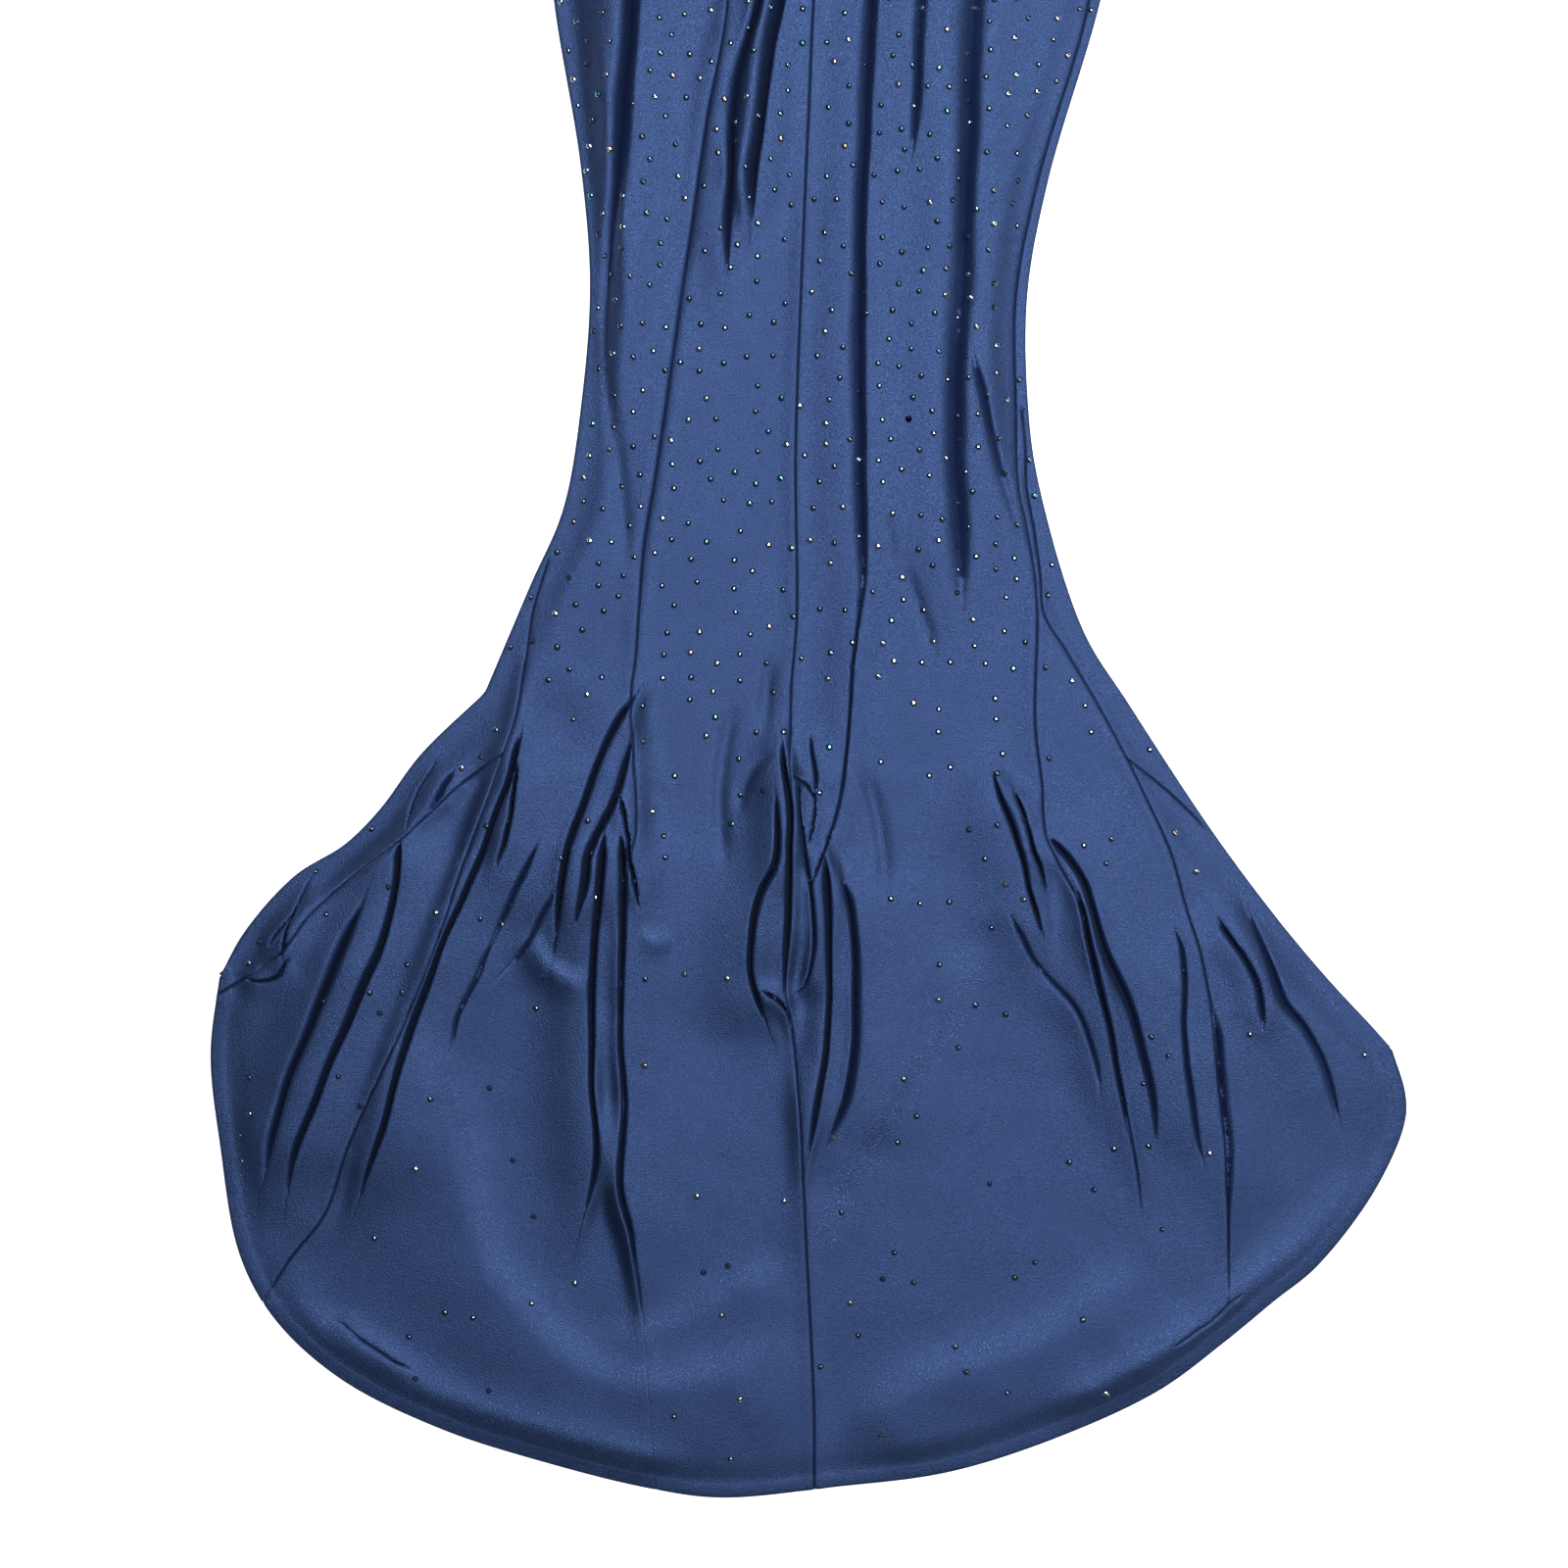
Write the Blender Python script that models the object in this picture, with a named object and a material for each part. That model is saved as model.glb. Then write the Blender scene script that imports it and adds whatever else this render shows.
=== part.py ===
"""Evening gown in stretch jersey, fitted to the knee and flaring into a train, laid flat on its front.

Seven cut pieces make a flattened tube. The front lies flat underneath and rolls round both side
edges. The back panels and the side godets lie on it in long folds, and the train lies past the
front's hem. Each piece is one closed wall of cloth, SEAM_GAP clear of its neighbours.

Distances are in millimetres until the meshes are made, in metres. X runs to the right, Y from the
lowest point of the train's hem towards the shoulders, and Z up from the surface the gown lies on.
A line that runs down the gown has its positive side on the right.
"""

import math

import bpy
import numpy as np
from mathutils.geometry import delaunay_2d_cdt

# Driving sizes
GOWN_LENGTH = 2020.0
GOWN_CENTRE = (0.0, GOWN_LENGTH / 2, 0.0)
CLOTH = 1.2
HEM_TURN = 13.0
HEM_TURN_EXTRA = 0.9
SEAM_GAP = 0.3
LAYER_GAP = 0.3
EDGE_ROLL = 4.0
UNDER_SEAM_INSET = 8.0
BODY_LOFT = 2.5
LOFT_RISE = 34.0
STEEPEST_WALL = 2.6
TALLEST_FOLD = 24.0
METRE = 0.001

# Spacing of the mesh points
EDGE_STEP = 28.0
GRID_STEP = 56.0
UNDER_STEP = 100.0
FOLD_STEP = 24.0
SOFT_FOLD_STEP = 40.0
SOFT_FOLD_WIDTH = 6.5
CLOSEST_POINTS = 4.6
NARROW_RUN = 30.0
FINE_LINE = 2.0
FOLD_LINE = 12.0
SAME_POINT = 1.0

# How far the underlying front reaches, and how the train drops to the surface past it
DROP_START = 4.0
DROP_END = 24.0

JERSEY_NAVY = (0.030, 0.052, 0.165, 1.0)
JERSEY_ROUGHNESS = 0.62

# Outer lines of the gown as it lies
LEFT_EDGE_POINTS = (
    (-188, 1795), (-168, 1700), (-158, 1610), (-182, 1500), (-227, 1400), (-218, 1284),
    (-195, 1142), (-187, 1040), (-194, 941), (-210, 847), (-238, 782), (-277, 690),
)
LEFT_FLARE_POINTS = (
    (-277, 690), (-332, 637), (-367, 590), (-397, 560), (-440, 533), (-483, 485), (-504, 447),
)
RIGHT_EDGE_POINTS = (
    (238, 1795), (215, 1700), (205, 1610), (232, 1500), (272, 1400), (251, 1284), (206, 1129),
    (188, 1030), (189, 932), (198, 868), (236, 743), (275, 680), (348, 569), (404, 494),
    (446, 444), (485, 402), (500, 385),
)
HEM_POINTS = (
    (-504, 447), (-512, 380), (-504, 303), (-487, 208), (-457, 153), (-401, 102), (-315, 59),
    (-221, 29), (-136, 8), (-75, 0), (22, 9), (121, 22), (215, 52), (301, 92), (359, 135),
    (399, 168), (436, 198), (485, 262), (511, 320), (512, 345), (500, 385),
)
FRONT_HEM_POINTS = (
    (-504, 447), (-357, 470), (-172, 490), (5, 494), (189, 477), (357, 439), (500, 385),
)
BACK_NECK_POINTS = (
    (-42, 2020), (-38, 1940), (-15, 1840), (26, 1800), (67, 1840), (90, 1940), (94, 2020),
)
FRONT_NECK_POINTS = (
    (-42, 2020), (-36, 1960), (-12, 1880), (26, 1850), (64, 1880), (88, 1960), (94, 2020),
)
ARMHOLE_LEFT_POINTS = ((-86, 2008), (-94, 1950), (-114, 1890), (-150, 1830), (-188, 1795))
ARMHOLE_RIGHT_POINTS = ((138, 2008), (146, 1950), (166, 1890), (202, 1830), (238, 1795))

# Seams, from the top down
CENTRE_BACK_POINTS = (
    (26, 1800), (20, 1600), (14, 1400), (5, 1284), (0, 1179), (-6, 1044), (-11, 895), (-10, 753),
    (-15, 686), (-14, 625), (-15, 556), (-18, 470), (-20, 441), (-15, 412), (-8, 329), (-1, 200),
    (5, 74), (5, 7.5),
)
PRINCESS_LEFT_POINTS = (
    (-114, 1890), (-66, 1740), (-54, 1600), (-74, 1400), (-69, 1284), (-87, 1179), (-102, 1074),
    (-115, 984), (-131, 874), (-141, 813), (-148, 717), (-151, 693), (-148, 631), (-146, 571),
    (-153, 540), (-158, 500), (-160, 425), (-158, 333), (-160, 269), (-152, 226), (-146, 192),
    (-138, 108), (-131, 7.5),
)
PRINCESS_RIGHT_POINTS = (
    (166, 1890), (118, 1740), (106, 1600), (180, 1450), (246, 1370), (241, 1284), (197, 1129),
    (178, 1030), (178, 932), (180, 866), (187, 832), (194, 790), (196, 755), (194, 663),
    (200, 610), (203, 570), (213, 544), (231, 508), (241, 470), (254, 418), (267, 354),
    (280, 290), (303, 93),
)
SIDE_LEFT_POINTS = (
    (-222.5, 803), (-235, 763), (-243, 712), (-250, 669), (-261, 638), (-273, 603), (-294, 547),
    (-320, 470), (-341, 418), (-358, 380), (-393, 303), (-414, 243), (-444, 204), (-467, 168),
)
GODET_LEFT_FRONT_POINTS = (
    (-261, 638), (-299, 609), (-342, 569), (-389, 533), (-424, 501), (-447, 470), (-480, 447),
    (-506.3, 431),
)
SIDE_RIGHT_POINTS = (
    (183, 932), (186, 900), (187, 866), (193, 832), (199, 790), (202, 757), (220, 727), (250, 676),
    (273, 633), (289, 599), (310, 552), (322, 509), (335, 466), (344, 423), (350, 371),
    (357, 312), (360, 208), (359, 135),
)
GODET_RIGHT_FRONT_POINTS = ((273, 633), (299, 613), (322, 592), (339, 574.5))
GODET_RIGHT_UNDER_POINTS = ((335.6, 567.2), (354, 515), (389, 432))
LEFT_APEX = (-261, 638)
RIGHT_APEX = (273, 633)
LEFT_CROSSING = (-228, 805)
RIGHT_CROSSING = (189, 932)
GODET_CROSSING = (344, 574.5)
APEX_CLEARANCE = 5.0
HEM_CORNER_CUT = 5.0
LEFT_CORNER_CUT = 6.0
RIGHT_CORNER_CUT = 12.0
UNDER_CORNER_CUT = 10.0
ARMHOLE_CORNER_CUT = 7.0

# Folds: a narrow valley with a rise at each side. Widths, rises, runs and fades are sizes of
# each fold: half the valley's width, how high the cloth stands at its left and right, how far
# each rise runs out, and the lengths over which the fold starts and ends.
FOLD_COLUMNS = (
    "name", "half_width", "rise_left", "rise_right", "run_left", "run_right", "fade_top",
    "fade_foot", "points",
)
FOLDS = (
    ("godet_left_inner", 6, 13, 15, 16, 45, 45, 70,
     ((-252, 625), (-281, 526), (-307, 475), (-346, 385), (-372, 290), (-393, 240))),
    ("godet_left_middle", 6, 12, 13, 28, 38, 40, 70,
     ((-344, 578), (-358, 517), (-380, 453), (-418, 354), (-440, 315))),
    ("godet_left_outer", 7, 8, 8, 28, 28, 50, 60,
     ((-378, 495), (-414, 406), (-440, 342), (-467, 262))),
    ("princess_left_outer", 5, 11, 14, 45, 15, 30, 60,
     ((-149, 684), (-169, 650), (-193, 588), (-210, 524), (-217, 475))),
    ("princess_left_inner", 6, 14, 14, 15, 20, 35, 50,
     ((-151, 642), (-169, 588), (-187, 552), (-197, 495))),
    ("princess_left_beside_seam", 6, 12, 15, 30, 8, 25, 70,
     ((-178, 540), (-184, 479), (-185, 354), (-183, 290), (-192, 240))),
    ("princess_left_seam", 6, 15, 12, 8, 40, 25, 90,
     ((-146, 571), (-153, 540), (-158, 500), (-160, 425), (-158, 333), (-160, 269), (-146, 192))),
    ("centre_deep", 6, 13, 12, 25, 9, 25, 50,
     ((-14, 640), (-14, 625), (-15, 556), (-18, 470), (-20, 441))),
    ("centre_left_curve", 6, 10, 9, 25, 12, 30, 35,
     ((-39, 545), (-47, 491), (-47, 457), (-33, 404))),
    ("centre_pair_left", 6, 12, 12, 14, 8, 30, 60,
     ((14, 545), (18, 483), (18, 418), (14, 354), (-3, 284))),
    ("centre_pair_right", 6, 12, 10, 8, 50, 30, 60,
     ((33, 512), (35, 440), (35, 397), (24, 340), (11, 294))),
    ("princess_right_deep", 6, 14, 14, 35, 9, 30, 40,
     ((160, 617), (177, 567), (190, 515), (198, 480))),
    ("princess_right_second", 4, 9, 9, 8, 14, 20, 30,
     ((178, 604), (190, 565), (202, 518))),
    ("princess_right_outer", 6, 9, 12, 16, 40, 25, 70,
     ((226, 560), (246, 509), (262, 462), (287, 389), (299, 295))),
    ("princess_right_seam", 5, 9, 8, 20, 10, 30, 70,
     ((213, 544), (231, 508), (241, 470), (254, 418), (267, 354), (280, 290))),
    ("godet_right_long", 8, 7, 8, 30, 30, 50, 60,
     ((372, 518), (399, 461), (430, 389), (458, 295))),
    ("godet_right_short", 5, 6, 6, 14, 14, 20, 25,
     ((348, 468), (378, 440), (392, 398))),
    ("side_right_seam", 6, 6, 7, 25, 25, 40, 50,
     ((344, 423), (350, 371), (357, 312), (360, 208))),
    ("back_right_long", 7, 4, 5, 30, 40, 120, 60,
     ((60, 1500), (54, 1284), (47, 1150), (44, 1025), (45, 900), (46, 790), (37, 693), (32, 629),
      (20, 575), (3, 526))),
    ("back_right_band", 13, 4, 4, 30, 25, 140, 80,
     ((150, 1480), (141, 1270), (131, 1032), (125, 930), (130, 830), (131, 745))),
    ("back_left_band", 12, 4, 4, 30, 30, 140, 60,
     ((-140, 1480), (-158, 1284), (-170, 1160), (-182, 1040), (-184, 976), (-164, 912))),
)

# Soft ridges where the train billows a little
RIDGE_COLUMNS = ("name", "height", "half_width", "fade", "points")
RIDGES = (
    ("train_centre", 7, 22, 60,
     ((128, 495), (134, 449), (121, 406), (91, 363), (61, 316), (22, 247), (-4, 200))),
    ("train_left_arc", 6, 22, 70,
     ((-317, 405), (-300, 335), (-264, 204), (-221, 149), (-136, 108), (-71, 118), (-10, 156))),
    ("train_left_inner_arc", 4, 14, 40, ((-185, 140), (-71, 183), (-15, 205))),
    ("train_left_hem", 4, 14, 60, ((-452, 187), (-350, 118), (-221, 66), (-93, 40))),
    ("train_right_arc", 5, 18, 60, ((5, 50), (87, 106), (194, 144), (285, 210))),
    ("train_right_hem", 5, 18, 60, ((194, 84), (279, 122), (400, 206), (470, 296))),
)


def smooth(points, spacing=FINE_LINE):
    """Points about `spacing` apart on a smooth curve through the given ones."""
    knots = np.array(points, float)
    padded = np.vstack([2 * knots[0] - knots[1], knots, 2 * knots[-1] - knots[-2]])
    runs = []
    for before, start, end, after in zip(padded, padded[1:], padded[2:], padded[3:]):
        first = math.sqrt(np.linalg.norm(start - before))
        middle = math.sqrt(np.linalg.norm(end - start))
        last = math.sqrt(np.linalg.norm(after - end))
        leave = end - start + middle * ((start - before) / first - (end - before) / (first + middle))
        arrive = end - start + middle * ((after - end) / last - (after - start) / (middle + last))
        count = max(2, math.ceil(np.linalg.norm(end - start) / spacing))
        t = np.linspace(0, 1, count, endpoint=False)[:, None]
        runs.append(
            (2 * t**3 - 3 * t**2 + 1) * start
            + (t**3 - 2 * t**2 + t) * leave
            + (3 * t**2 - 2 * t**3) * end
            + (t**3 - t**2) * arrive
        )
    return np.vstack([*runs, knots[-1:]])


def lengths_of(line):
    """How far along the line each of its points lies."""
    steps = np.linalg.norm(np.diff(line, axis=0), axis=1)
    return np.concatenate([[0], np.cumsum(steps)])


def measure(points, line):
    """For each point: how far along the line it lies, and how far to the line's side."""
    starts = line[:-1]
    spans = np.diff(line, axis=0)
    sizes = np.linalg.norm(spans, axis=1)
    ways = spans / sizes[:, None]
    offsets = points[:, None, :] - starts[None]
    along = np.einsum("pij,ij->pi", offsets, ways)
    held = np.clip(along, 0, sizes)
    gaps = offsets - held[..., None] * ways[None]
    distances = np.linalg.norm(gaps, axis=2)
    best = distances.argmin(axis=1)
    rows = np.arange(len(points))
    place = lengths_of(line)[best] + held[rows, best]
    nearest = offsets[rows, best]
    side = ways[best, 0] * nearest[:, 1] - ways[best, 1] * nearest[:, 0]
    return place, np.copysign(distances[rows, best], side)


def place_on(line, point):
    return measure(np.array([point], float), line)[0][0]


def shifted(line, distance):
    """The line moved sideways, a positive distance to the right of a line that runs down."""
    ways = np.gradient(line, axis=0)
    ways /= np.linalg.norm(ways, axis=1)[:, None]
    return line + distance * np.column_stack([-ways[:, 1], ways[:, 0]])


def at_place(line, place):
    """The point, or points, at a length along the line."""
    lengths = lengths_of(line)
    return np.stack([np.interp(place, lengths, line[:, axis]) for axis in (0, 1)], axis=-1)


def stretch(line, stops, step=EDGE_STEP):
    """Points along the line through the places nearest to the stops, in even steps between them."""
    places = [place_on(line, stop) for stop in stops]
    at = places[:1]
    for start, end in zip(places, places[1:]):
        count = max(1, round(abs(end - start) / step))
        at.extend(np.linspace(start, end, count + 1)[1:])
    return at_place(line, at)


def further(line, start, distance):
    """The point that lies a distance further along the line than another."""
    return at_place(line, place_on(line, start) + distance)


def smoothstep(value, low, high):
    t = np.clip((value - low) / (high - low), 0, 1)
    return t * t * (3 - 2 * t)


LEFT_EDGE = np.vstack([smooth(LEFT_EDGE_POINTS)[:-1], smooth(LEFT_FLARE_POINTS)])
RIGHT_EDGE = smooth(RIGHT_EDGE_POINTS)
HEM = smooth(HEM_POINTS)
FRONT_HEM = smooth(FRONT_HEM_POINTS)
BACK_NECK = smooth(BACK_NECK_POINTS)
FRONT_NECK = smooth(FRONT_NECK_POINTS)
ARMHOLE_LEFT = smooth(ARMHOLE_LEFT_POINTS)
ARMHOLE_RIGHT = smooth(ARMHOLE_RIGHT_POINTS)
CENTRE_BACK = smooth(CENTRE_BACK_POINTS)
PRINCESS_LEFT = smooth(PRINCESS_LEFT_POINTS)
PRINCESS_RIGHT = smooth(PRINCESS_RIGHT_POINTS)
SIDE_LEFT = smooth(SIDE_LEFT_POINTS)
SIDE_RIGHT = smooth(SIDE_RIGHT_POINTS)
GODET_LEFT_FRONT = smooth(GODET_LEFT_FRONT_POINTS)
GODET_RIGHT_FRONT = smooth(GODET_RIGHT_FRONT_POINTS)
GODET_RIGHT_UNDER = smooth(GODET_RIGHT_UNDER_POINTS)
LEFT_ROLL = shifted(LEFT_EDGE, EDGE_ROLL)
RIGHT_ROLL = shifted(RIGHT_EDGE, -EDGE_ROLL)
FOLD_ROWS = [dict(zip(FOLD_COLUMNS, row)) for row in FOLDS]
RIDGE_ROWS = [dict(zip(RIDGE_COLUMNS, row)) for row in RIDGES]
for fold_row in FOLD_ROWS + RIDGE_ROWS:
    fold_row["line"] = smooth(fold_row["points"], FOLD_LINE)
COARSE_LEFT = np.vstack([smooth(LEFT_EDGE_POINTS, FOLD_LINE)[:-1], smooth(LEFT_FLARE_POINTS, FOLD_LINE)])
COARSE_EDGES = COARSE_LEFT, smooth(RIGHT_EDGE_POINTS, FOLD_LINE), smooth(HEM_POINTS, FOLD_LINE)
COARSE_FRONT_HEM = smooth(FRONT_HEM_POINTS, FOLD_LINE)


def inset(points):
    """How far inside the rolled edges, and inside the hem, each point lies."""
    left, right, hem = (np.abs(measure(points, line)[1]) for line in COARSE_EDGES)
    return np.minimum(left, right), hem


def folds_height(points):
    """How high the folded cloth stands over its flat lie at each point."""
    rise = np.zeros(len(points))
    cut = np.ones(len(points))
    for row in FOLD_ROWS:
        place, side = measure(points, row["line"])
        length = lengths_of(row["line"])[-1]
        reach = smoothstep(place, 0, row["fade_top"]) * smoothstep(length - place, 0, row["fade_foot"])
        width = row["half_width"]
        away = np.abs(side)
        bank = smoothstep(away, 0, width)
        high = np.where(side > 0, row["rise_right"], row["rise_left"])
        run = np.where(side > 0, row["run_right"], row["run_left"])
        rise += reach * high * bank * np.exp(-((np.maximum(away - width, 0) / run) ** 2))
        cut *= 1 - reach * (1 - bank)
    for row in RIDGE_ROWS:
        place, side = measure(points, row["line"])
        length = lengths_of(row["line"])[-1]
        reach = smoothstep(place, 0, row["fade"]) * smoothstep(length - place, 0, row["fade"])
        rise += reach * row["height"] * np.exp(-((side / row["half_width"]) ** 2))
    rise /= (1 + (rise / TALLEST_FOLD) ** 4) ** 0.25
    edge, hem = inset(points)
    rise += BODY_LOFT * smoothstep(edge, EDGE_ROLL, LOFT_RISE) * smoothstep(past_front_hem(points), 40, 0)
    return rise * cut * smoothstep(edge, 0, LOFT_RISE) * smoothstep(hem, 0, LOFT_RISE)


def past_front_hem(points):
    """How far past the front's hem each point lies, negative where the front is underneath."""
    return -measure(points, COARSE_FRONT_HEM)[1]


def underside(points):
    """The height of the back layer's lower face: on the front, then down to the surface past its hem."""
    lie = (CLOTH + LAYER_GAP) * (1 - smoothstep(past_front_hem(points), DROP_START, DROP_END))
    return lie + folds_height(points)


def thickness(flat, faces, low):
    """The wall measured upright, thicker where the cloth stands steep, and doubled at the turned hem."""
    lean = np.zeros(len(flat))
    shared = np.zeros(len(flat))
    for face in faces:
        a, b, c = (np.append(flat[i], low[i]) for i in face)
        normal = np.cross(b - a, c - a)
        lean[list(face)] += np.linalg.norm(normal) / normal[2]
        shared[list(face)] += 1
    turned = HEM_TURN_EXTRA * (1 - smoothstep(inset(flat)[1], 0, HEM_TURN))
    return CLOTH * np.minimum(lean / shared, STEEPEST_WALL) + turned


class Loop:
    """A piece's outline on the surface, anticlockwise, and its stretches that roll round the gown's edge."""

    def __init__(self):
        self.runs = []
        self.rolled = []

    def follow(self, line, shift, *stops):
        self.runs.append(stretch(shifted(line, shift), stops))
        self.rolled.append(False)

    def roll(self, run):
        self.runs.append(run)
        self.rolled.append(True)

    def closed(self):
        """The outline's points, and where in them each rolled stretch lies."""
        points = []
        rolls = []
        for index, run in enumerate(self.runs):
            following = (index + 1) % len(self.runs)
            if self.rolled[index]:
                rolls.append(list(range(len(points), len(points) + len(run))))
            else:
                before = self.runs[index - 1][-1]
                after = self.runs[following][0]
                run = run[1:] if np.linalg.norm(run[0] - before) < SAME_POINT else run
                if self.rolled[following] and np.linalg.norm(run[-1] - after) < SAME_POINT:
                    run = run[:-1]
            points.extend(run)
        return np.array(points), rolls


def fold_chains():
    """Chains of points along each fold: all the valleys first, then their banks, then where the rises end."""
    valleys = []
    banks = []
    feet = []
    for row in FOLD_ROWS:
        width = row["half_width"]
        step = SOFT_FOLD_STEP if width > SOFT_FOLD_WIDTH else FOLD_STEP
        offsets = [(valleys, 0), (banks, -width), (banks, width)]
        if row["run_left"] <= NARROW_RUN:
            offsets.append((feet, -width - row["run_left"]))
        if row["run_right"] <= NARROW_RUN:
            offsets.append((feet, width + row["run_right"]))
        line = row["line"]
        for chains, offset in offsets:
            chains.append(stretch(shifted(line, offset), (line[0], line[-1]), step))
    return valleys + banks + feet


def ridge_chains():
    return [stretch(row["line"], (row["line"][0], row["line"][-1]), SOFT_FOLD_STEP) for row in RIDGE_ROWS]


def drop_chains():
    """Chains where the train starts to drop past the front's hem, and where it reaches the surface."""
    lines = [shifted(FRONT_HEM, -distance) for distance in (DROP_START - 1, DROP_END)]
    return [stretch(line, (line[0], line[-1])) for line in lines]


def hem_chains():
    line = shifted(HEM, HEM_TURN)
    return [stretch(line, (line[0], line[-1]), GRID_STEP)]


def grid_chains(step):
    """Evenly spaced points over the whole gown, in staggered rows, each a chain of its own."""
    rows = np.arange(0, GOWN_LENGTH, step * math.sqrt(0.75))
    columns = np.arange(HEM[:, 0].min(), HEM[:, 0].max(), step)
    return [np.array([(x + (i % 2) * step / 2, y)]) for i, y in enumerate(rows) for x in columns]


UPPER_CHAINS = drop_chains() + fold_chains() + hem_chains() + ridge_chains() + grid_chains(GRID_STEP)
UNDER_CHAINS = grid_chains(UNDER_STEP)


def inside(points, outline):
    """Which points lie inside a closed outline."""
    within = np.zeros(len(points), bool)
    for (x0, y0), (x1, y1) in zip(outline, np.roll(outline, -1, axis=0)):
        if y0 == y1:
            continue
        crosses = (y0 > points[:, 1]) != (y1 > points[:, 1])
        within ^= crosses & (points[:, 0] < (x1 - x0) * (points[:, 1] - y0) / (y1 - y0) + x0)
    return within


def thinned(chains, outline):
    """The chains' points inside an outline, clear of it and of each other, and the joints between them."""
    ring = np.vstack([outline, outline[:1]])
    kept = []
    joints = []
    for chain in chains:
        clear = inside(chain, outline) & (np.abs(measure(chain, ring)[1]) > CLOSEST_POINTS)
        last = None
        for point, free in zip(chain, clear):
            if free and kept:
                free = np.linalg.norm(np.array(kept) - point, axis=1).min() > CLOSEST_POINTS
            if free:
                if last is not None:
                    joints.append((last, len(kept)))
                kept.append(point)
            last = len(kept) - 1 if free else None
    return kept, joints


def filled(loop, chains):
    """The outline filled with triangles through the chains' points, and where its rolled stretches went."""
    outline, rolls = loop.closed()
    kept, joints = thinned(chains, outline)
    first = len(outline)
    points = [tuple(point) for point in [*outline, *kept]]
    joints = [(first + a, first + b) for a, b in joints]
    found = delaunay_2d_cdt(points, joints, [list(range(first))], 1, 1e-6)
    flat = np.array([tuple(point) for point in found[0]])
    places = {source: index for index, sources in enumerate(found[3]) for source in sources}
    faces = [tuple(face) for face in found[2]]
    return flat, faces, [[places[i] for i in roll] for roll in rolls]


def rolled_rows(run, low, high):
    """The rows of points between the upper layer and the lower one, round a rolled edge."""
    ways = np.gradient(run, axis=0)
    ways /= np.linalg.norm(ways, axis=1)[:, None]
    outward = np.column_stack([ways[:, 1], -ways[:, 0]])
    rows = []
    for turn in (math.pi / 4, 0, -math.pi / 4):
        across = math.cos(turn)
        up = math.sin(turn)
        outer = np.column_stack([run + outward * EDGE_ROLL * across, high / 2 * (1 + up)])
        lift = (low + CLOTH) / 2 + (low - CLOTH) / 2 * up
        inner = np.column_stack([run + outward * (EDGE_ROLL - CLOTH) * across, lift])
        rows.append((outer, inner))
    return rows


def skins(uppers, under):
    """The outer and inner skins of a piece, point by point, and the faces that both have."""
    outer = []
    inner = []
    faces = []
    edges = []
    for loop in uppers:
        flat, upper_faces, rolls = filled(loop, UPPER_CHAINS)
        low = underside(flat)
        high = low + thickness(flat, upper_faces, low)
        start = len(outer)
        faces += [tuple(start + i for i in face) for face in upper_faces]
        outer += [*np.column_stack([flat, high])]
        inner += [*np.column_stack([flat, low])]
        edges += [([start + i for i in roll], flat[roll], low[roll], high[roll]) for roll in rolls]
    if under is None:
        return outer, inner, faces
    flat, under_faces, rolls = filled(under, UNDER_CHAINS)
    start = len(outer)
    outer += [*np.column_stack([flat, np.zeros(len(flat))])]
    inner += [*np.column_stack([flat, np.full(len(flat), CLOTH)])]
    faces += [tuple(start + i for i in reversed(face)) for face in under_faces]
    for (row, run, low, high), roll in zip(edges, rolls):
        for outer_row, inner_row in rolled_rows(run, low, high):
            following = list(range(len(outer), len(outer) + len(run)))
            outer += [*outer_row]
            inner += [*inner_row]
            faces += bridge(row, following)
            row = following
        faces += bridge(row, [start + i for i in roll])
    return outer, inner, faces


def bridge(row, following):
    """Faces from one row of points to the next, outwards round the edge."""
    return [(b, a, c, d) for a, b, c, d in zip(row, row[1:], following, following[1:])]


def cloth_wall(name, outer, inner, faces):
    """Makes the closed wall between two skins that share their faces."""
    count = len(outer)
    sides = {(a, b) for face in faces for a, b in zip(face, face[1:] + face[:1])}
    rims = [(b, a, a + count, b + count) for a, b in sides if (b, a) not in sides]
    backs = [tuple(i + count for i in reversed(face)) for face in faces]
    mesh = bpy.data.meshes.new(name)
    points = [tuple((point - GOWN_CENTRE) * METRE) for point in outer + inner]
    mesh.from_pydata(points, [], faces + backs + sorted(rims))
    mesh.update()
    mesh.materials.append(jersey(name))
    piece = bpy.data.objects.new(name, mesh)
    bpy.context.scene.collection.objects.link(piece)
    mesh.shade_smooth()
    mesh.set_sharp_from_angle(angle=math.radians(60))
    return piece


def jersey(name):
    """Navy stretch jersey."""
    material = bpy.data.materials.new(name + "_jersey")
    material.use_nodes = True
    shader = material.node_tree.nodes["Principled BSDF"]
    shader.inputs["Base Color"].default_value = JERSEY_NAVY
    shader.inputs["Roughness"].default_value = JERSEY_ROUGHNESS
    shader.inputs["Metallic"].default_value = 0.0
    return material


HALF_GAP = SEAM_GAP / 2
LEFT_CORNER = HEM[0]
RIGHT_CORNER = HEM[-1]
LEFT_APEX_FRONT = further(GODET_LEFT_FRONT, LEFT_APEX, APEX_CLEARANCE)
LEFT_APEX_BACK = further(SIDE_LEFT, LEFT_APEX, APEX_CLEARANCE)
RIGHT_APEX_FRONT = further(GODET_RIGHT_FRONT, RIGHT_APEX, APEX_CLEARANCE)
RIGHT_APEX_BACK = further(SIDE_RIGHT, RIGHT_APEX, APEX_CLEARANCE)
HEM_LEFT_START = further(HEM, LEFT_CORNER, HEM_CORNER_CUT)
HEM_RIGHT_END = further(HEM, RIGHT_CORNER, -HEM_CORNER_CUT)
LEFT_ROLL_END = further(LEFT_EDGE, LEFT_CORNER, -LEFT_CORNER_CUT)
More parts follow.
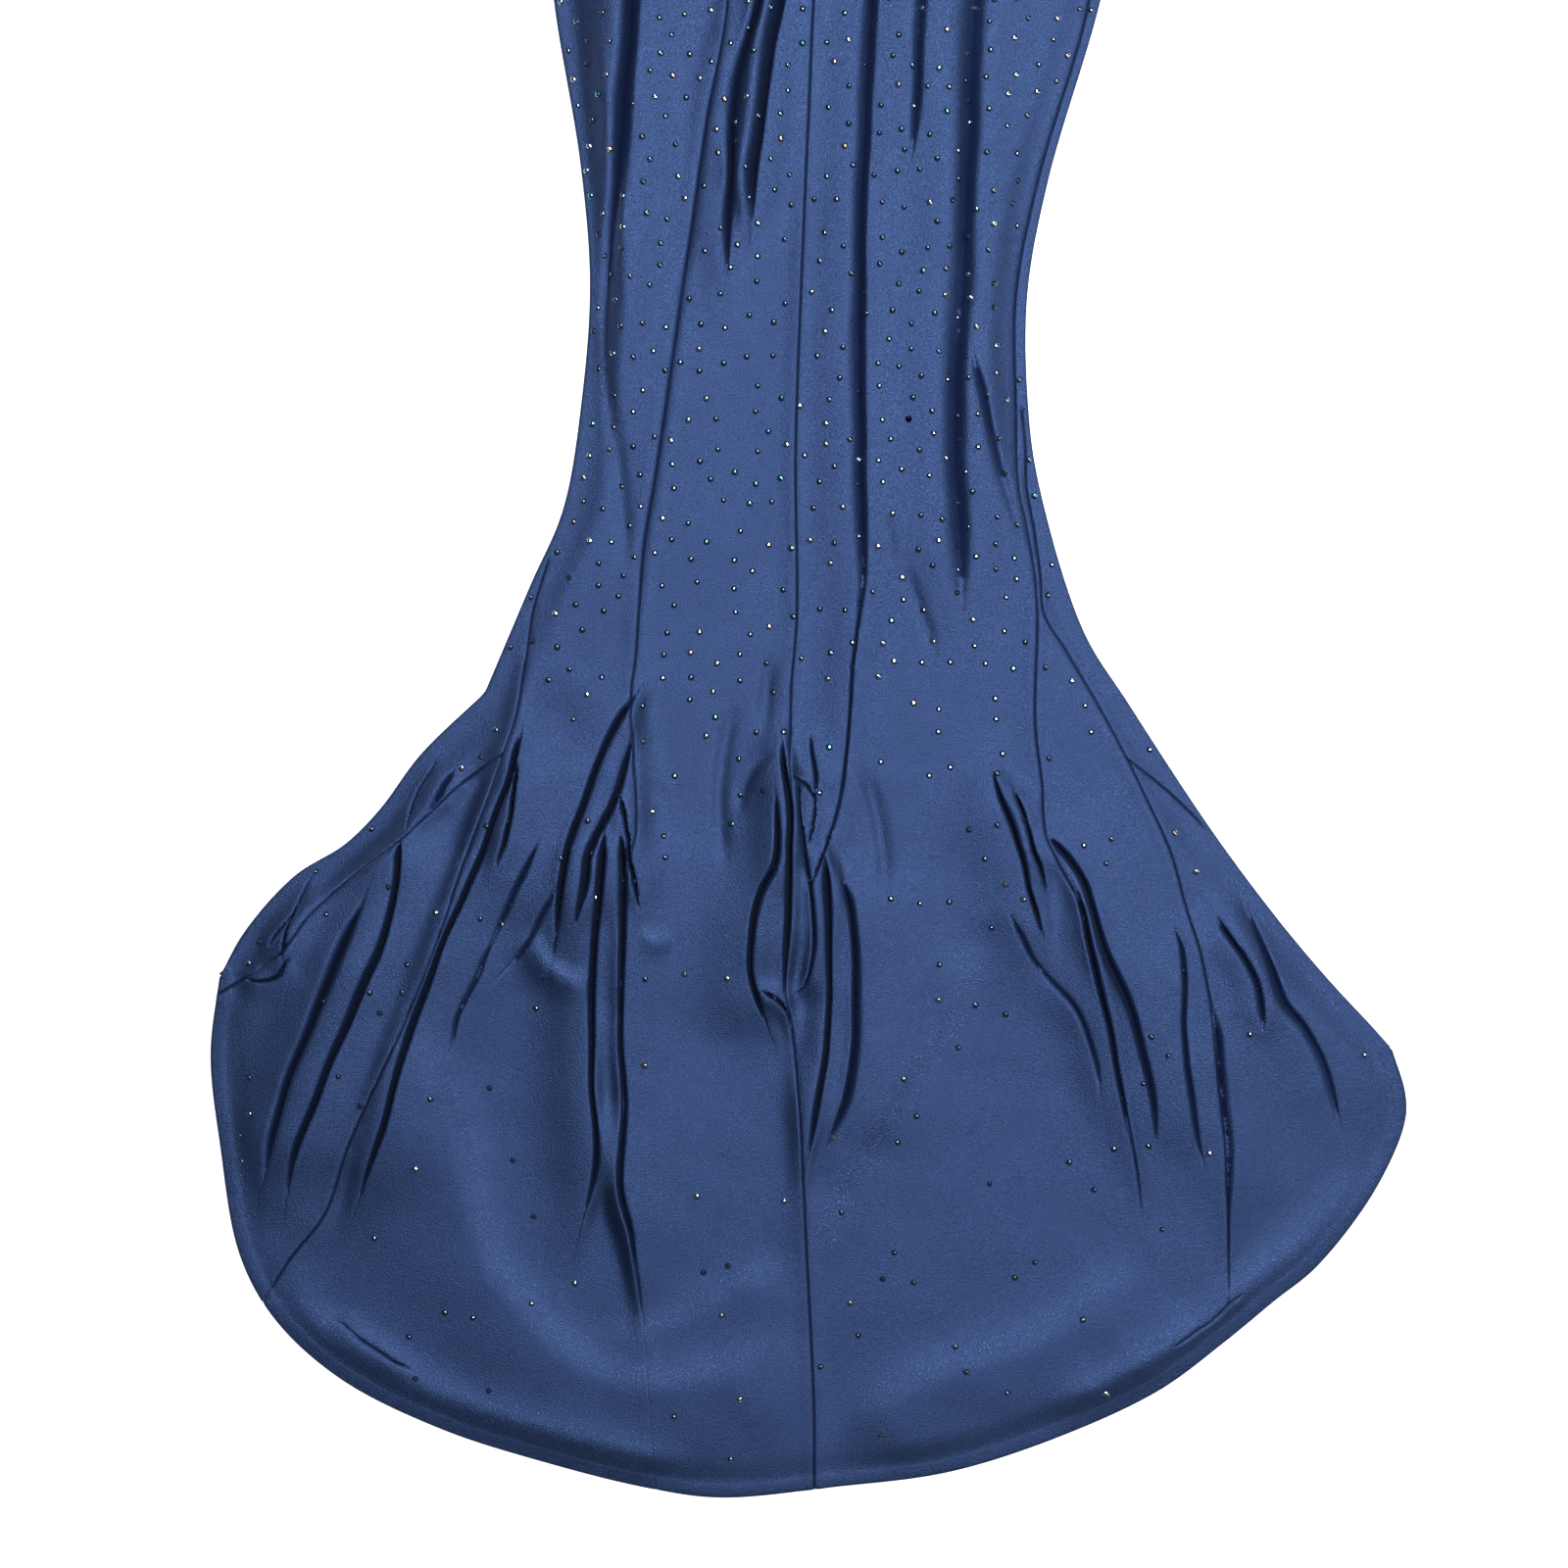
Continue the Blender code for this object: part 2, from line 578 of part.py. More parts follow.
RIGHT_ROLL_START = further(RIGHT_EDGE, RIGHT_CORNER, -RIGHT_CORNER_CUT)
UNDER_LEFT_START = further(FRONT_HEM, LEFT_CORNER, UNDER_CORNER_CUT)
UNDER_RIGHT_END = further(FRONT_HEM, RIGHT_CORNER, -UNDER_CORNER_CUT - RIGHT_CORNER_CUT)
GODET_RIGHT_FOOT = GODET_RIGHT_UNDER[-1]

# Where each seam crosses its rolled edge, the two pieces' ends lie a seam's gap apart
FRONT_LEFT_CROSSING = further(LEFT_EDGE, LEFT_CROSSING, SEAM_GAP)
FRONT_RIGHT_CROSSING = further(RIGHT_EDGE, RIGHT_CROSSING, SEAM_GAP)
FRONT_LEFT_SEAM_START = further(SIDE_LEFT, SIDE_LEFT[0], SEAM_GAP)
FRONT_RIGHT_SEAM_START = further(SIDE_RIGHT, SIDE_RIGHT[0], SEAM_GAP)
FRONT_GODET_CROSSING = further(RIGHT_EDGE, GODET_CROSSING, -SEAM_GAP)
FRONT_GODET_SEAM_END = further(GODET_RIGHT_FRONT, GODET_RIGHT_FRONT[-1], -SEAM_GAP)
GODET_UNDER_START = further(GODET_RIGHT_UNDER, GODET_RIGHT_UNDER[0], SEAM_GAP)
SEAM_INSET = UNDER_SEAM_INSET + SEAM_GAP


def front():
    """The front lies flat underneath, and comes round each side edge as a narrowing strip."""
    left_roll = stretch(LEFT_ROLL, (FRONT_LEFT_CROSSING, LEFT_ROLL_END))
    right_roll = stretch(RIGHT_ROLL, (FRONT_GODET_CROSSING, FRONT_RIGHT_CROSSING))
    left = Loop()
    left.roll(left_roll)
    left.follow(HEM, 0, HEM_LEFT_START, further(HEM, GODET_LEFT_FRONT[-1], -2 * SEAM_GAP))
    left.follow(GODET_LEFT_FRONT, -HALF_GAP, GODET_LEFT_FRONT[-1], LEFT_APEX_FRONT, LEFT_APEX)
    left.follow(SIDE_LEFT, -HALF_GAP, LEFT_APEX, FRONT_LEFT_SEAM_START)
    right = Loop()
    right.follow(SIDE_RIGHT, HALF_GAP, FRONT_RIGHT_SEAM_START, RIGHT_APEX)
    right.follow(GODET_RIGHT_FRONT, HALF_GAP, RIGHT_APEX, RIGHT_APEX_FRONT, FRONT_GODET_SEAM_END)
    right.roll(right_roll)
    under = Loop()
    under.follow(LEFT_EDGE, SEAM_INSET, LEFT_EDGE[0], FRONT_LEFT_CROSSING)
    under.roll(left_roll)
    under.follow(FRONT_HEM, 0, UNDER_LEFT_START, GODET_RIGHT_FOOT - (SEAM_GAP, 0))
    under.follow(GODET_RIGHT_UNDER, -HALF_GAP, GODET_RIGHT_FOOT, GODET_RIGHT_UNDER[0])
    under.roll(right_roll)
    under.follow(RIGHT_EDGE, -SEAM_INSET, FRONT_RIGHT_CROSSING, RIGHT_EDGE[0])
    under.follow(ARMHOLE_RIGHT, 0, ARMHOLE_RIGHT[-1] - (SEAM_INSET, 0), ARMHOLE_RIGHT[0])
    under.follow(FRONT_NECK, 0, FRONT_NECK[-1], FRONT_NECK[0])
    under.follow(ARMHOLE_LEFT, 0, ARMHOLE_LEFT[0], ARMHOLE_LEFT[-1] + (SEAM_INSET, 0))
    return (left, right), under


def back_left_centre():
    upper = Loop()
    upper.follow(PRINCESS_LEFT, HALF_GAP, PRINCESS_LEFT[0], PRINCESS_LEFT[-1])
    upper.follow(HEM, 0, PRINCESS_LEFT[-1] + (HALF_GAP, 0), CENTRE_BACK[-1] - (HALF_GAP, 0))
    upper.follow(CENTRE_BACK, -HALF_GAP, CENTRE_BACK[-1], CENTRE_BACK[0])
    upper.follow(BACK_NECK, 0, CENTRE_BACK[0] - (HALF_GAP, 0), BACK_NECK[0])
    upper.follow(ARMHOLE_LEFT, 0, ARMHOLE_LEFT[0], PRINCESS_LEFT[0] + (HALF_GAP, 0))
    return (upper,), None


def back_right_centre():
    upper = Loop()
    upper.follow(CENTRE_BACK, HALF_GAP, CENTRE_BACK[0], CENTRE_BACK[-1])
    upper.follow(HEM, 0, CENTRE_BACK[-1] + (HALF_GAP, 0), PRINCESS_RIGHT[-1] - (HALF_GAP, 0))
    upper.follow(PRINCESS_RIGHT, -HALF_GAP, PRINCESS_RIGHT[-1], PRINCESS_RIGHT[0])
    upper.follow(ARMHOLE_RIGHT, 0, PRINCESS_RIGHT[0] - (HALF_GAP, 0), ARMHOLE_RIGHT[0])
    upper.follow(BACK_NECK, 0, BACK_NECK[-1], CENTRE_BACK[0] + (HALF_GAP, 0))
    return (upper,), None


def back_left_side():
    """The side back rolls round the left edge down to where the side seam crosses it."""
    roll = stretch(LEFT_ROLL, (LEFT_EDGE[0], LEFT_CROSSING))
    upper = Loop()
    upper.follow(ARMHOLE_LEFT, 0, PRINCESS_LEFT[0] - (HALF_GAP, 0), roll[0] + (ARMHOLE_CORNER_CUT, 0))
    upper.roll(roll)
    upper.follow(SIDE_LEFT, HALF_GAP, SIDE_LEFT[0], LEFT_APEX, LEFT_APEX_BACK, SIDE_LEFT[-1])
    upper.follow(HEM, 0, SIDE_LEFT[-1] + (HALF_GAP, 0), PRINCESS_LEFT[-1] - (HALF_GAP, 0))
    upper.follow(PRINCESS_LEFT, -HALF_GAP, PRINCESS_LEFT[-1], PRINCESS_LEFT[0])
    under = Loop()
    under.roll(roll)
    under.follow(LEFT_EDGE, UNDER_SEAM_INSET, LEFT_CROSSING, LEFT_EDGE[0])
    return (upper,), under


def back_right_side():
    """The side back rolls round the right edge down to where the side seam crosses it."""
    roll = stretch(RIGHT_ROLL, (RIGHT_CROSSING, RIGHT_EDGE[0]))
    upper = Loop()
    upper.follow(PRINCESS_RIGHT, HALF_GAP, PRINCESS_RIGHT[0], PRINCESS_RIGHT[-1])
    upper.follow(HEM, 0, PRINCESS_RIGHT[-1] + (HALF_GAP, 0), SIDE_RIGHT[-1] - (HALF_GAP, 0))
    upper.follow(SIDE_RIGHT, -HALF_GAP, SIDE_RIGHT[-1], RIGHT_APEX_BACK, RIGHT_APEX, SIDE_RIGHT[0])
    upper.roll(roll)
    upper.follow(ARMHOLE_RIGHT, 0, roll[-1] - (ARMHOLE_CORNER_CUT, 0), PRINCESS_RIGHT[0] + (HALF_GAP, 0))
    under = Loop()
    under.roll(roll)
    under.follow(RIGHT_EDGE, -UNDER_SEAM_INSET, RIGHT_EDGE[0], RIGHT_CROSSING)
    return (upper,), under


def godet_left():
    upper = Loop()
    upper.follow(GODET_LEFT_FRONT, HALF_GAP, LEFT_APEX_FRONT, GODET_LEFT_FRONT[-1])
    upper.follow(HEM, 0, further(HEM, GODET_LEFT_FRONT[-1], SEAM_GAP), SIDE_LEFT[-1] - (HALF_GAP, 0))
    upper.follow(SIDE_LEFT, -HALF_GAP, SIDE_LEFT[-1], LEFT_APEX_BACK)
    return (upper,), None


def godet_right():
    """The right godet rolls round the edge below the front's strip, to the hem corner."""
    roll = stretch(RIGHT_ROLL, (RIGHT_ROLL_START, GODET_CROSSING))
    upper = Loop()
    upper.follow(SIDE_RIGHT, HALF_GAP, RIGHT_APEX_BACK, SIDE_RIGHT[-1])
    upper.follow(HEM, 0, SIDE_RIGHT[-1] + (HALF_GAP, 0), HEM_RIGHT_END)
    upper.roll(roll)
    upper.follow(GODET_RIGHT_FRONT, -HALF_GAP, GODET_RIGHT_FRONT[-1], RIGHT_APEX_FRONT)
    under = Loop()
    under.roll(roll)
    under.follow(GODET_RIGHT_UNDER, HALF_GAP, GODET_UNDER_START, GODET_RIGHT_FOOT)
    under.follow(FRONT_HEM, 0, GODET_RIGHT_FOOT + (SEAM_GAP, 0), UNDER_RIGHT_END)
    return (upper,), under


PIECES = {
    "front": front,
    "back_left_centre": back_left_centre,
    "back_right_centre": back_right_centre,
    "back_left_side": back_left_side,
    "back_right_side": back_right_side,
    "godet_left": godet_left,
    "godet_right": godet_right,
}


def main():
    for piece in list(bpy.data.objects):
        bpy.data.objects.remove(piece)
    for name, shape in PIECES.items():
        cloth_wall(name, *skins(*shape()))


main()
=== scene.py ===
"""Looks of the evening gown in navy stretch jersey, laid flat on its front.

Each cut panel is a thin closed shell on its solid's plan. It has the same edges and seams, finer
folds, a rolled side edge, a pressed seam and a turned hem. Rhinestones are set on the back and
stitches run along the hem.

Distances are in millimetres until the meshes are made, in metres. X runs to the right, Y from the
lowest point of the train's hem towards the shoulders, and Z up from the floor. A line that runs
down the gown has its positive side on the right.
"""

import math

import bpy
import numpy as np
from mathutils.geometry import delaunay_2d_cdt
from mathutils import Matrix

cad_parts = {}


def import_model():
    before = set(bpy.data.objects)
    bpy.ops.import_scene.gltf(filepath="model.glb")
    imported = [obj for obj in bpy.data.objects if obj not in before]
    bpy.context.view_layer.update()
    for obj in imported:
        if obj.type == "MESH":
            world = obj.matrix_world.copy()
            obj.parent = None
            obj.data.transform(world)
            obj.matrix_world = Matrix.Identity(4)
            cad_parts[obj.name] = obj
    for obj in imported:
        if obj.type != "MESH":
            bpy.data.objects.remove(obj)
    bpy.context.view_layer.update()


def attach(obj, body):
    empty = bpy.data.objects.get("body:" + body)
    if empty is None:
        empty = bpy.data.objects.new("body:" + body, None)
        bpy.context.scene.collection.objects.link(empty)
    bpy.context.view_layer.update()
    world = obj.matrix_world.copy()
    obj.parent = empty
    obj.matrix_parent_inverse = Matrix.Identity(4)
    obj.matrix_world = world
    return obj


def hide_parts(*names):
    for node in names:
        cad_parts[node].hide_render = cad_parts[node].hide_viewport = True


# Driving sizes
GOWN_LENGTH = 2020.0
GOWN_CENTRE = (0.0, GOWN_LENGTH / 2, 0.0)
METRE = 0.001
CLOTH = 1.2
SHELL = 0.85
SEAM_GAP = 0.02
# Below 0: two panels press into each other along their seam
HALF_GAP = -0.03
LAYER_GAP = 0.3
EDGE_ROLL = 4.0
UNDER_SEAM_INSET = 8.0
BODY_LOFT = 4.0
LOFT_RISE = 34.0
TALLEST_FOLD = 24.0
# How sharply folds that meet are held down to the tallest one
HOLD_SHARPNESS = 4
DROP_START = 0.0
DROP_END = 90.0
# How far from a line its effect is worked out: times its widths, or as a distance
WIDTH_REACH = 1.2
RUN_REACH = 2.2
RIDGE_REACH = 2.4
EDGE_REACH = LOFT_RISE + 6
DROP_REACH = DROP_END + 40
# Where the body's loft and the train's pucker fade, as distances past the front's hem
LOFT_FADE = (130, -50)
PUCKER_FADE = (-250, 60)

# Hem turn, seams and folds
HEM_TURN = 12.0
HEM_TURN_EXTRA = 0.8
HEM_EDGE_ROUND = 1.6
HEM_EDGE_DROP = 0.7
HEM_TURN_STEP = 0.8
STITCH_GROOVE = 0.35
STITCH_GROOVE_WIDTH = 0.8
STITCH_LINE = 11.0
SEAM_DIP = 1.5
SEAM_DIP_WIDTH = 2.0
SEAM_ALLOWANCE = 9.0
SEAM_LIFT = 1.5
SEAM_DIP_FADE = (-6, 12)
FAINT_SEAM = 0.12
FAINT_SEAM_FADE = (-50, 10)
FOLD_LEAD = 0.4
FOLD_SWELL = 2.6
FOLD_SWAY = 0.6
# Each wave of an uneven bank: its share, its rate and its phase
RIPPLE_WAVES = (0.65, 1, 1.7), (0.35, 1.9, 2.9)
WIDTH_RIPPLE = 0.14
HEIGHT_RIPPLE = 0.12
WAVE_SHARE = 0.7
SHORTEST_WAVE = 60
LONGEST_WAVE = 240
# How wide and how far a bank runs where its valley is closed, and what opening adds to each
CLOSED_WIDTH, OPENED_WIDTH = 0.4, 0.6
CLOSED_RUN, OPENED_RUN = 0.7, 0.3
# A valley opens from a share of the fold's lead to a share of its fade, at its top and its foot
OPENING_START = 0.8
OPENING_TOP = 0.6
OPENING_FOOT = 0.8
VALLEY_SHARPNESS = 2.4
VALLEY_SPREAD = 0.92
FULL_DEPTH = 5.0
LAP_RUN = 9.0
PUCKER = 0.16
TRAIN_PUCKER = 0.42
PRESSED_HALF = 15.0
PRESSED_STEP = 0.7
MOST_PRESSED = {"train_centre": 1.6}

# Spacing of the mesh points
EDGE_STEP = 4.0
GRID_STEP = 4.2
UPPER_GRID_STEP = 7.0
UPPER_GRID_START = 1300.0
UNDER_STEP = 14.0
FOLD_STEP = 4.0
CLOSEST_POINTS = 0.55
TOUCHING = 1e-6
# The Delaunay tool's way of giving only the triangles inside the outline
TRIANGLES_INSIDE = 1
GRID_CLEARANCE = 2.3
ROW_FROM_OUTLINE = 0.3
GRID_FROM_OUTLINE = 1.5
FINE_LINE = 2.0
LINE_STEP = 6.0
RUN_LENGTH = 8
FAR = 999.0
SAME_POINT = 1.0
SEAM_ROWS = (0.6, 1.3, 2.4)
HEM_ROWS = (0.5, 1.2, 2.6, 9.9, 11.0, 12.1, 13.2)
BANK_ROWS = (0.35, 0.7, 1.0)
BEYOND_BANK_ROWS = (1.8, 4.5)


def smooth(points, spacing=FINE_LINE):
    """Points about `spacing` apart on a smooth curve through the given ones."""
    knots = np.array(points, float)
    padded = np.vstack([2 * knots[0] - knots[1], knots, 2 * knots[-1] - knots[-2]])
    runs = []
    for before, start, end, after in zip(padded, padded[1:], padded[2:], padded[3:]):
        first = math.sqrt(np.linalg.norm(start - before))
        middle = math.sqrt(np.linalg.norm(end - start))
        last = math.sqrt(np.linalg.norm(after - end))
        leave = (
            end - start + middle * ((start - before) / first - (end - before) / (first + middle))
        )
        arrive = end - start + middle * ((after - end) / last - (after - start) / (middle + last))
        count = max(2, math.ceil(np.linalg.norm(end - start) / spacing))
        t = np.linspace(0, 1, count, endpoint=False)[:, None]
        runs.append(
            (2 * t**3 - 3 * t**2 + 1) * start
            + (t**3 - 2 * t**2 + t) * leave
            + (3 * t**2 - 2 * t**3) * end
            + (t**3 - t**2) * arrive
        )
    return np.vstack([*runs, knots[-1:]])


def lengths_of(line):
    """How far along the line each of its points lies."""
    steps = np.linalg.norm(np.diff(line, axis=0), axis=1)
    return np.concatenate([[0], np.cumsum(steps)])


def measure(points, line):
    """For each point: how far along the line it lies, and how far to the line's side."""
    starts = line[:-1]
    spans = np.diff(line, axis=0)
    sizes = np.linalg.norm(spans, axis=1)
    ways = spans / sizes[:, None]
    offsets = points[:, None, :] - starts[None]
    along = np.einsum("pij,ij->pi", offsets, ways)
    held = np.clip(along, 0, sizes)
    gaps = offsets - held[..., None] * ways[None]
    distances = np.linalg.norm(gaps, axis=2)
    best = distances.argmin(axis=1)
    rows = np.arange(len(points))
    place = lengths_of(line)[best] + held[rows, best]
    nearest = offsets[rows, best]
    side = ways[best, 0] * nearest[:, 1] - ways[best, 1] * nearest[:, 0]
    return place, np.copysign(distances[rows, best], side)


def measure_near(points, line, reach):
    """The same for the points within reach of the line. The others are FAR from it."""
    place = np.zeros(len(points))
    side = np.full(len(points), FAR)
    lengths = lengths_of(line)
    for start in range(0, len(line) - 1, RUN_LENGTH):
        run = line[start : start + RUN_LENGTH + 1]
        low = run.min(axis=0) - reach
        high = run.max(axis=0) + reach
        near = np.flatnonzero(((points > low) & (points < high)).all(axis=1))
        if not len(near):
            continue
        where, away = measure(points[near], run)
        closer = np.abs(away) < np.abs(side[near])
        place[near[closer]] = lengths[start] + where[closer]
        side[near[closer]] = away[closer]
    return place, side


def away_from(points, line, reach):
    """How far each point is from the line, on whichever side it lies."""
    return np.abs(measure_near(points, line, reach)[1])


def place_on(line, point):
    """How far along the line its nearest place to a point lies."""
    return measure(np.array([point], float), line)[0][0]


def shifted(line, distance):
    """The line moved sideways, a positive distance to the right of a line that runs down."""
    return line + distance * normals_of(line)


def normals_of(line):
    """The way to the positive side at each of the line's points."""
    ways = np.gradient(line, axis=0)
    ways /= np.linalg.norm(ways, axis=1)[:, None]
    return np.column_stack([-ways[:, 1], ways[:, 0]])


def at_place(line, place, values=None):
    """The line's points, or values kept for them, at lengths along it."""
    lengths = lengths_of(line)
    values = line if values is None else values
    return np.stack([np.interp(place, lengths, values[:, axis]) for axis in (0, 1)], axis=-1)


def stretch(line, stops, step=EDGE_STEP):
    """Points along the line through the places nearest to the stops, in even steps between them."""
    places = [place_on(line, stop) for stop in stops]
    at = places[:1]
    for start, end in zip(places, places[1:]):
        count = max(1, round(abs(end - start) / step))
        at.extend(np.linspace(start, end, count + 1)[1:])
    return at_place(line, at)


def further(line, start, distance):
    """The point that lies a distance further along the line than another."""
    return at_place(line, place_on(line, start) + distance)


def smoothstep(value, low, high):
    """A soft step from 0 at `low` to 1 at `high`."""
    t = np.clip((value - low) / (high - low), 0, 1)
    return t * t * (3 - 2 * t)


# Outer lines of the gown as it lies
LEFT_BODY = smooth((
    (-188, 1795), (-168, 1700), (-158, 1610), (-182, 1500), (-227, 1400), (-218, 1284),
    (-195, 1142), (-187, 1040), (-194, 941), (-210, 847), (-238, 782), (-277, 690),
))
LEFT_FLARE = smooth((
    (-277, 690), (-332, 637), (-367, 590), (-397, 560), (-440, 533), (-483, 485), (-504, 447),
))
LEFT_EDGE = np.vstack([LEFT_BODY[:-1], LEFT_FLARE])
RIGHT_EDGE = smooth((
    (238, 1795), (215, 1700), (205, 1610), (232, 1500), (272, 1400), (251, 1284), (206, 1129),
    (188, 1030), (189, 932), (198, 868), (236, 743), (275, 680), (348, 569), (404, 494),
    (446, 444), (485, 402), (500, 385),
))
HEM = smooth((
    (-504, 447), (-512, 380), (-504, 303), (-487, 208), (-457, 153), (-401, 102), (-315, 59),
    (-221, 29), (-136, 8), (-75, 0), (22, 9), (121, 22), (215, 52), (301, 92), (359, 135),
    (399, 168), (436, 198), (485, 262), (511, 320), (512, 345), (500, 385),
))
FRONT_HEM = smooth((
    (-504, 447), (-357, 470), (-172, 490), (5, 494), (189, 477), (357, 439), (500, 385),
))
BACK_NECK = smooth((
    (-42, 2020), (-38, 1940), (-15, 1840), (26, 1800), (67, 1840), (90, 1940), (94, 2020),
))
FRONT_NECK = smooth((
    (-42, 2020), (-36, 1960), (-12, 1880), (26, 1850), (64, 1880), (88, 1960), (94, 2020),
))
ARMHOLE_LEFT = smooth(((-86, 2008), (-94, 1950), (-114, 1890), (-150, 1830), (-188, 1795)))
ARMHOLE_RIGHT = smooth(((138, 2008), (146, 1950), (166, 1890), (202, 1830), (238, 1795)))

# Seams, from the top down
CENTRE_BACK = smooth((
    (26, 1800), (20, 1600), (14, 1400), (5, 1284), (0, 1179), (-6, 1044), (-11, 895), (-10, 753),
    (-15, 686), (-14, 625), (-15, 556), (-18, 470), (-20, 441), (-15, 412), (-8, 329), (-1, 200),
    (5, 74), (5, 7.5),
))
PRINCESS_LEFT = smooth((
    (-114, 1890), (-66, 1740), (-54, 1600), (-74, 1400), (-69, 1284), (-87, 1179), (-102, 1074),
    (-115, 984), (-131, 874), (-141, 813), (-148, 717), (-151, 693), (-148, 631), (-146, 571),
    (-153, 540), (-158, 500), (-160, 425), (-158, 333), (-160, 269), (-152, 226), (-146, 192),
    (-138, 108), (-131, 7.5),
))
PRINCESS_RIGHT = smooth((
    (166, 1890), (118, 1740), (106, 1600), (180, 1450), (246, 1370), (241, 1284), (197, 1129),
    (178, 1030), (178, 932), (180, 866), (187, 832), (194, 790), (196, 755), (194, 663),
    (200, 610), (203, 570), (213, 544), (231, 508), (241, 470), (254, 418), (267, 354),
    (280, 290), (303, 93),
))
SIDE_LEFT = smooth((
    (-222.5, 803), (-235, 763), (-243, 712), (-250, 669), (-261, 638), (-273, 603), (-294, 547),
    (-320, 470), (-341, 418), (-358, 380), (-393, 303), (-414, 243), (-444, 204), (-467, 168),
))
GODET_LEFT_FRONT = smooth((
    (-261, 638), (-299, 609), (-342, 569), (-389, 533), (-424, 501), (-447, 470), (-480, 447),
    (-506.3, 431),
))
SIDE_RIGHT = smooth((
    (183, 932), (186, 900), (187, 866), (193, 832), (199, 790), (202, 757), (220, 727), (250, 676),
    (273, 633), (289, 599), (310, 552), (322, 509), (335, 466), (344, 423), (350, 371),
    (357, 312), (360, 208), (359, 135),
))
GODET_RIGHT_FRONT = smooth(((273, 633), (299, 613), (322, 592), (339, 574.5)))
GODET_RIGHT_UNDER = smooth(((335.6, 567.2), (354, 515), (389, 432)))
LEFT_APEX = (-261, 638)
RIGHT_APEX = (273, 633)
LEFT_CROSSING = (-228, 805)
RIGHT_CROSSING = (189, 932)
GODET_CROSSING = (344, 574.5)
APEX_CLEARANCE = 5.0
HEM_CORNER_CUT = 1.5
LEFT_CORNER_CUT = 1.5
RIGHT_CORNER_CUT = 2.0
ROLL_TAPER = 30.0
ROLL_LEAST = 0.8
UNDER_CORNER_CUT = 7.0
ARMHOLE_CORNER_CUT = 7.0

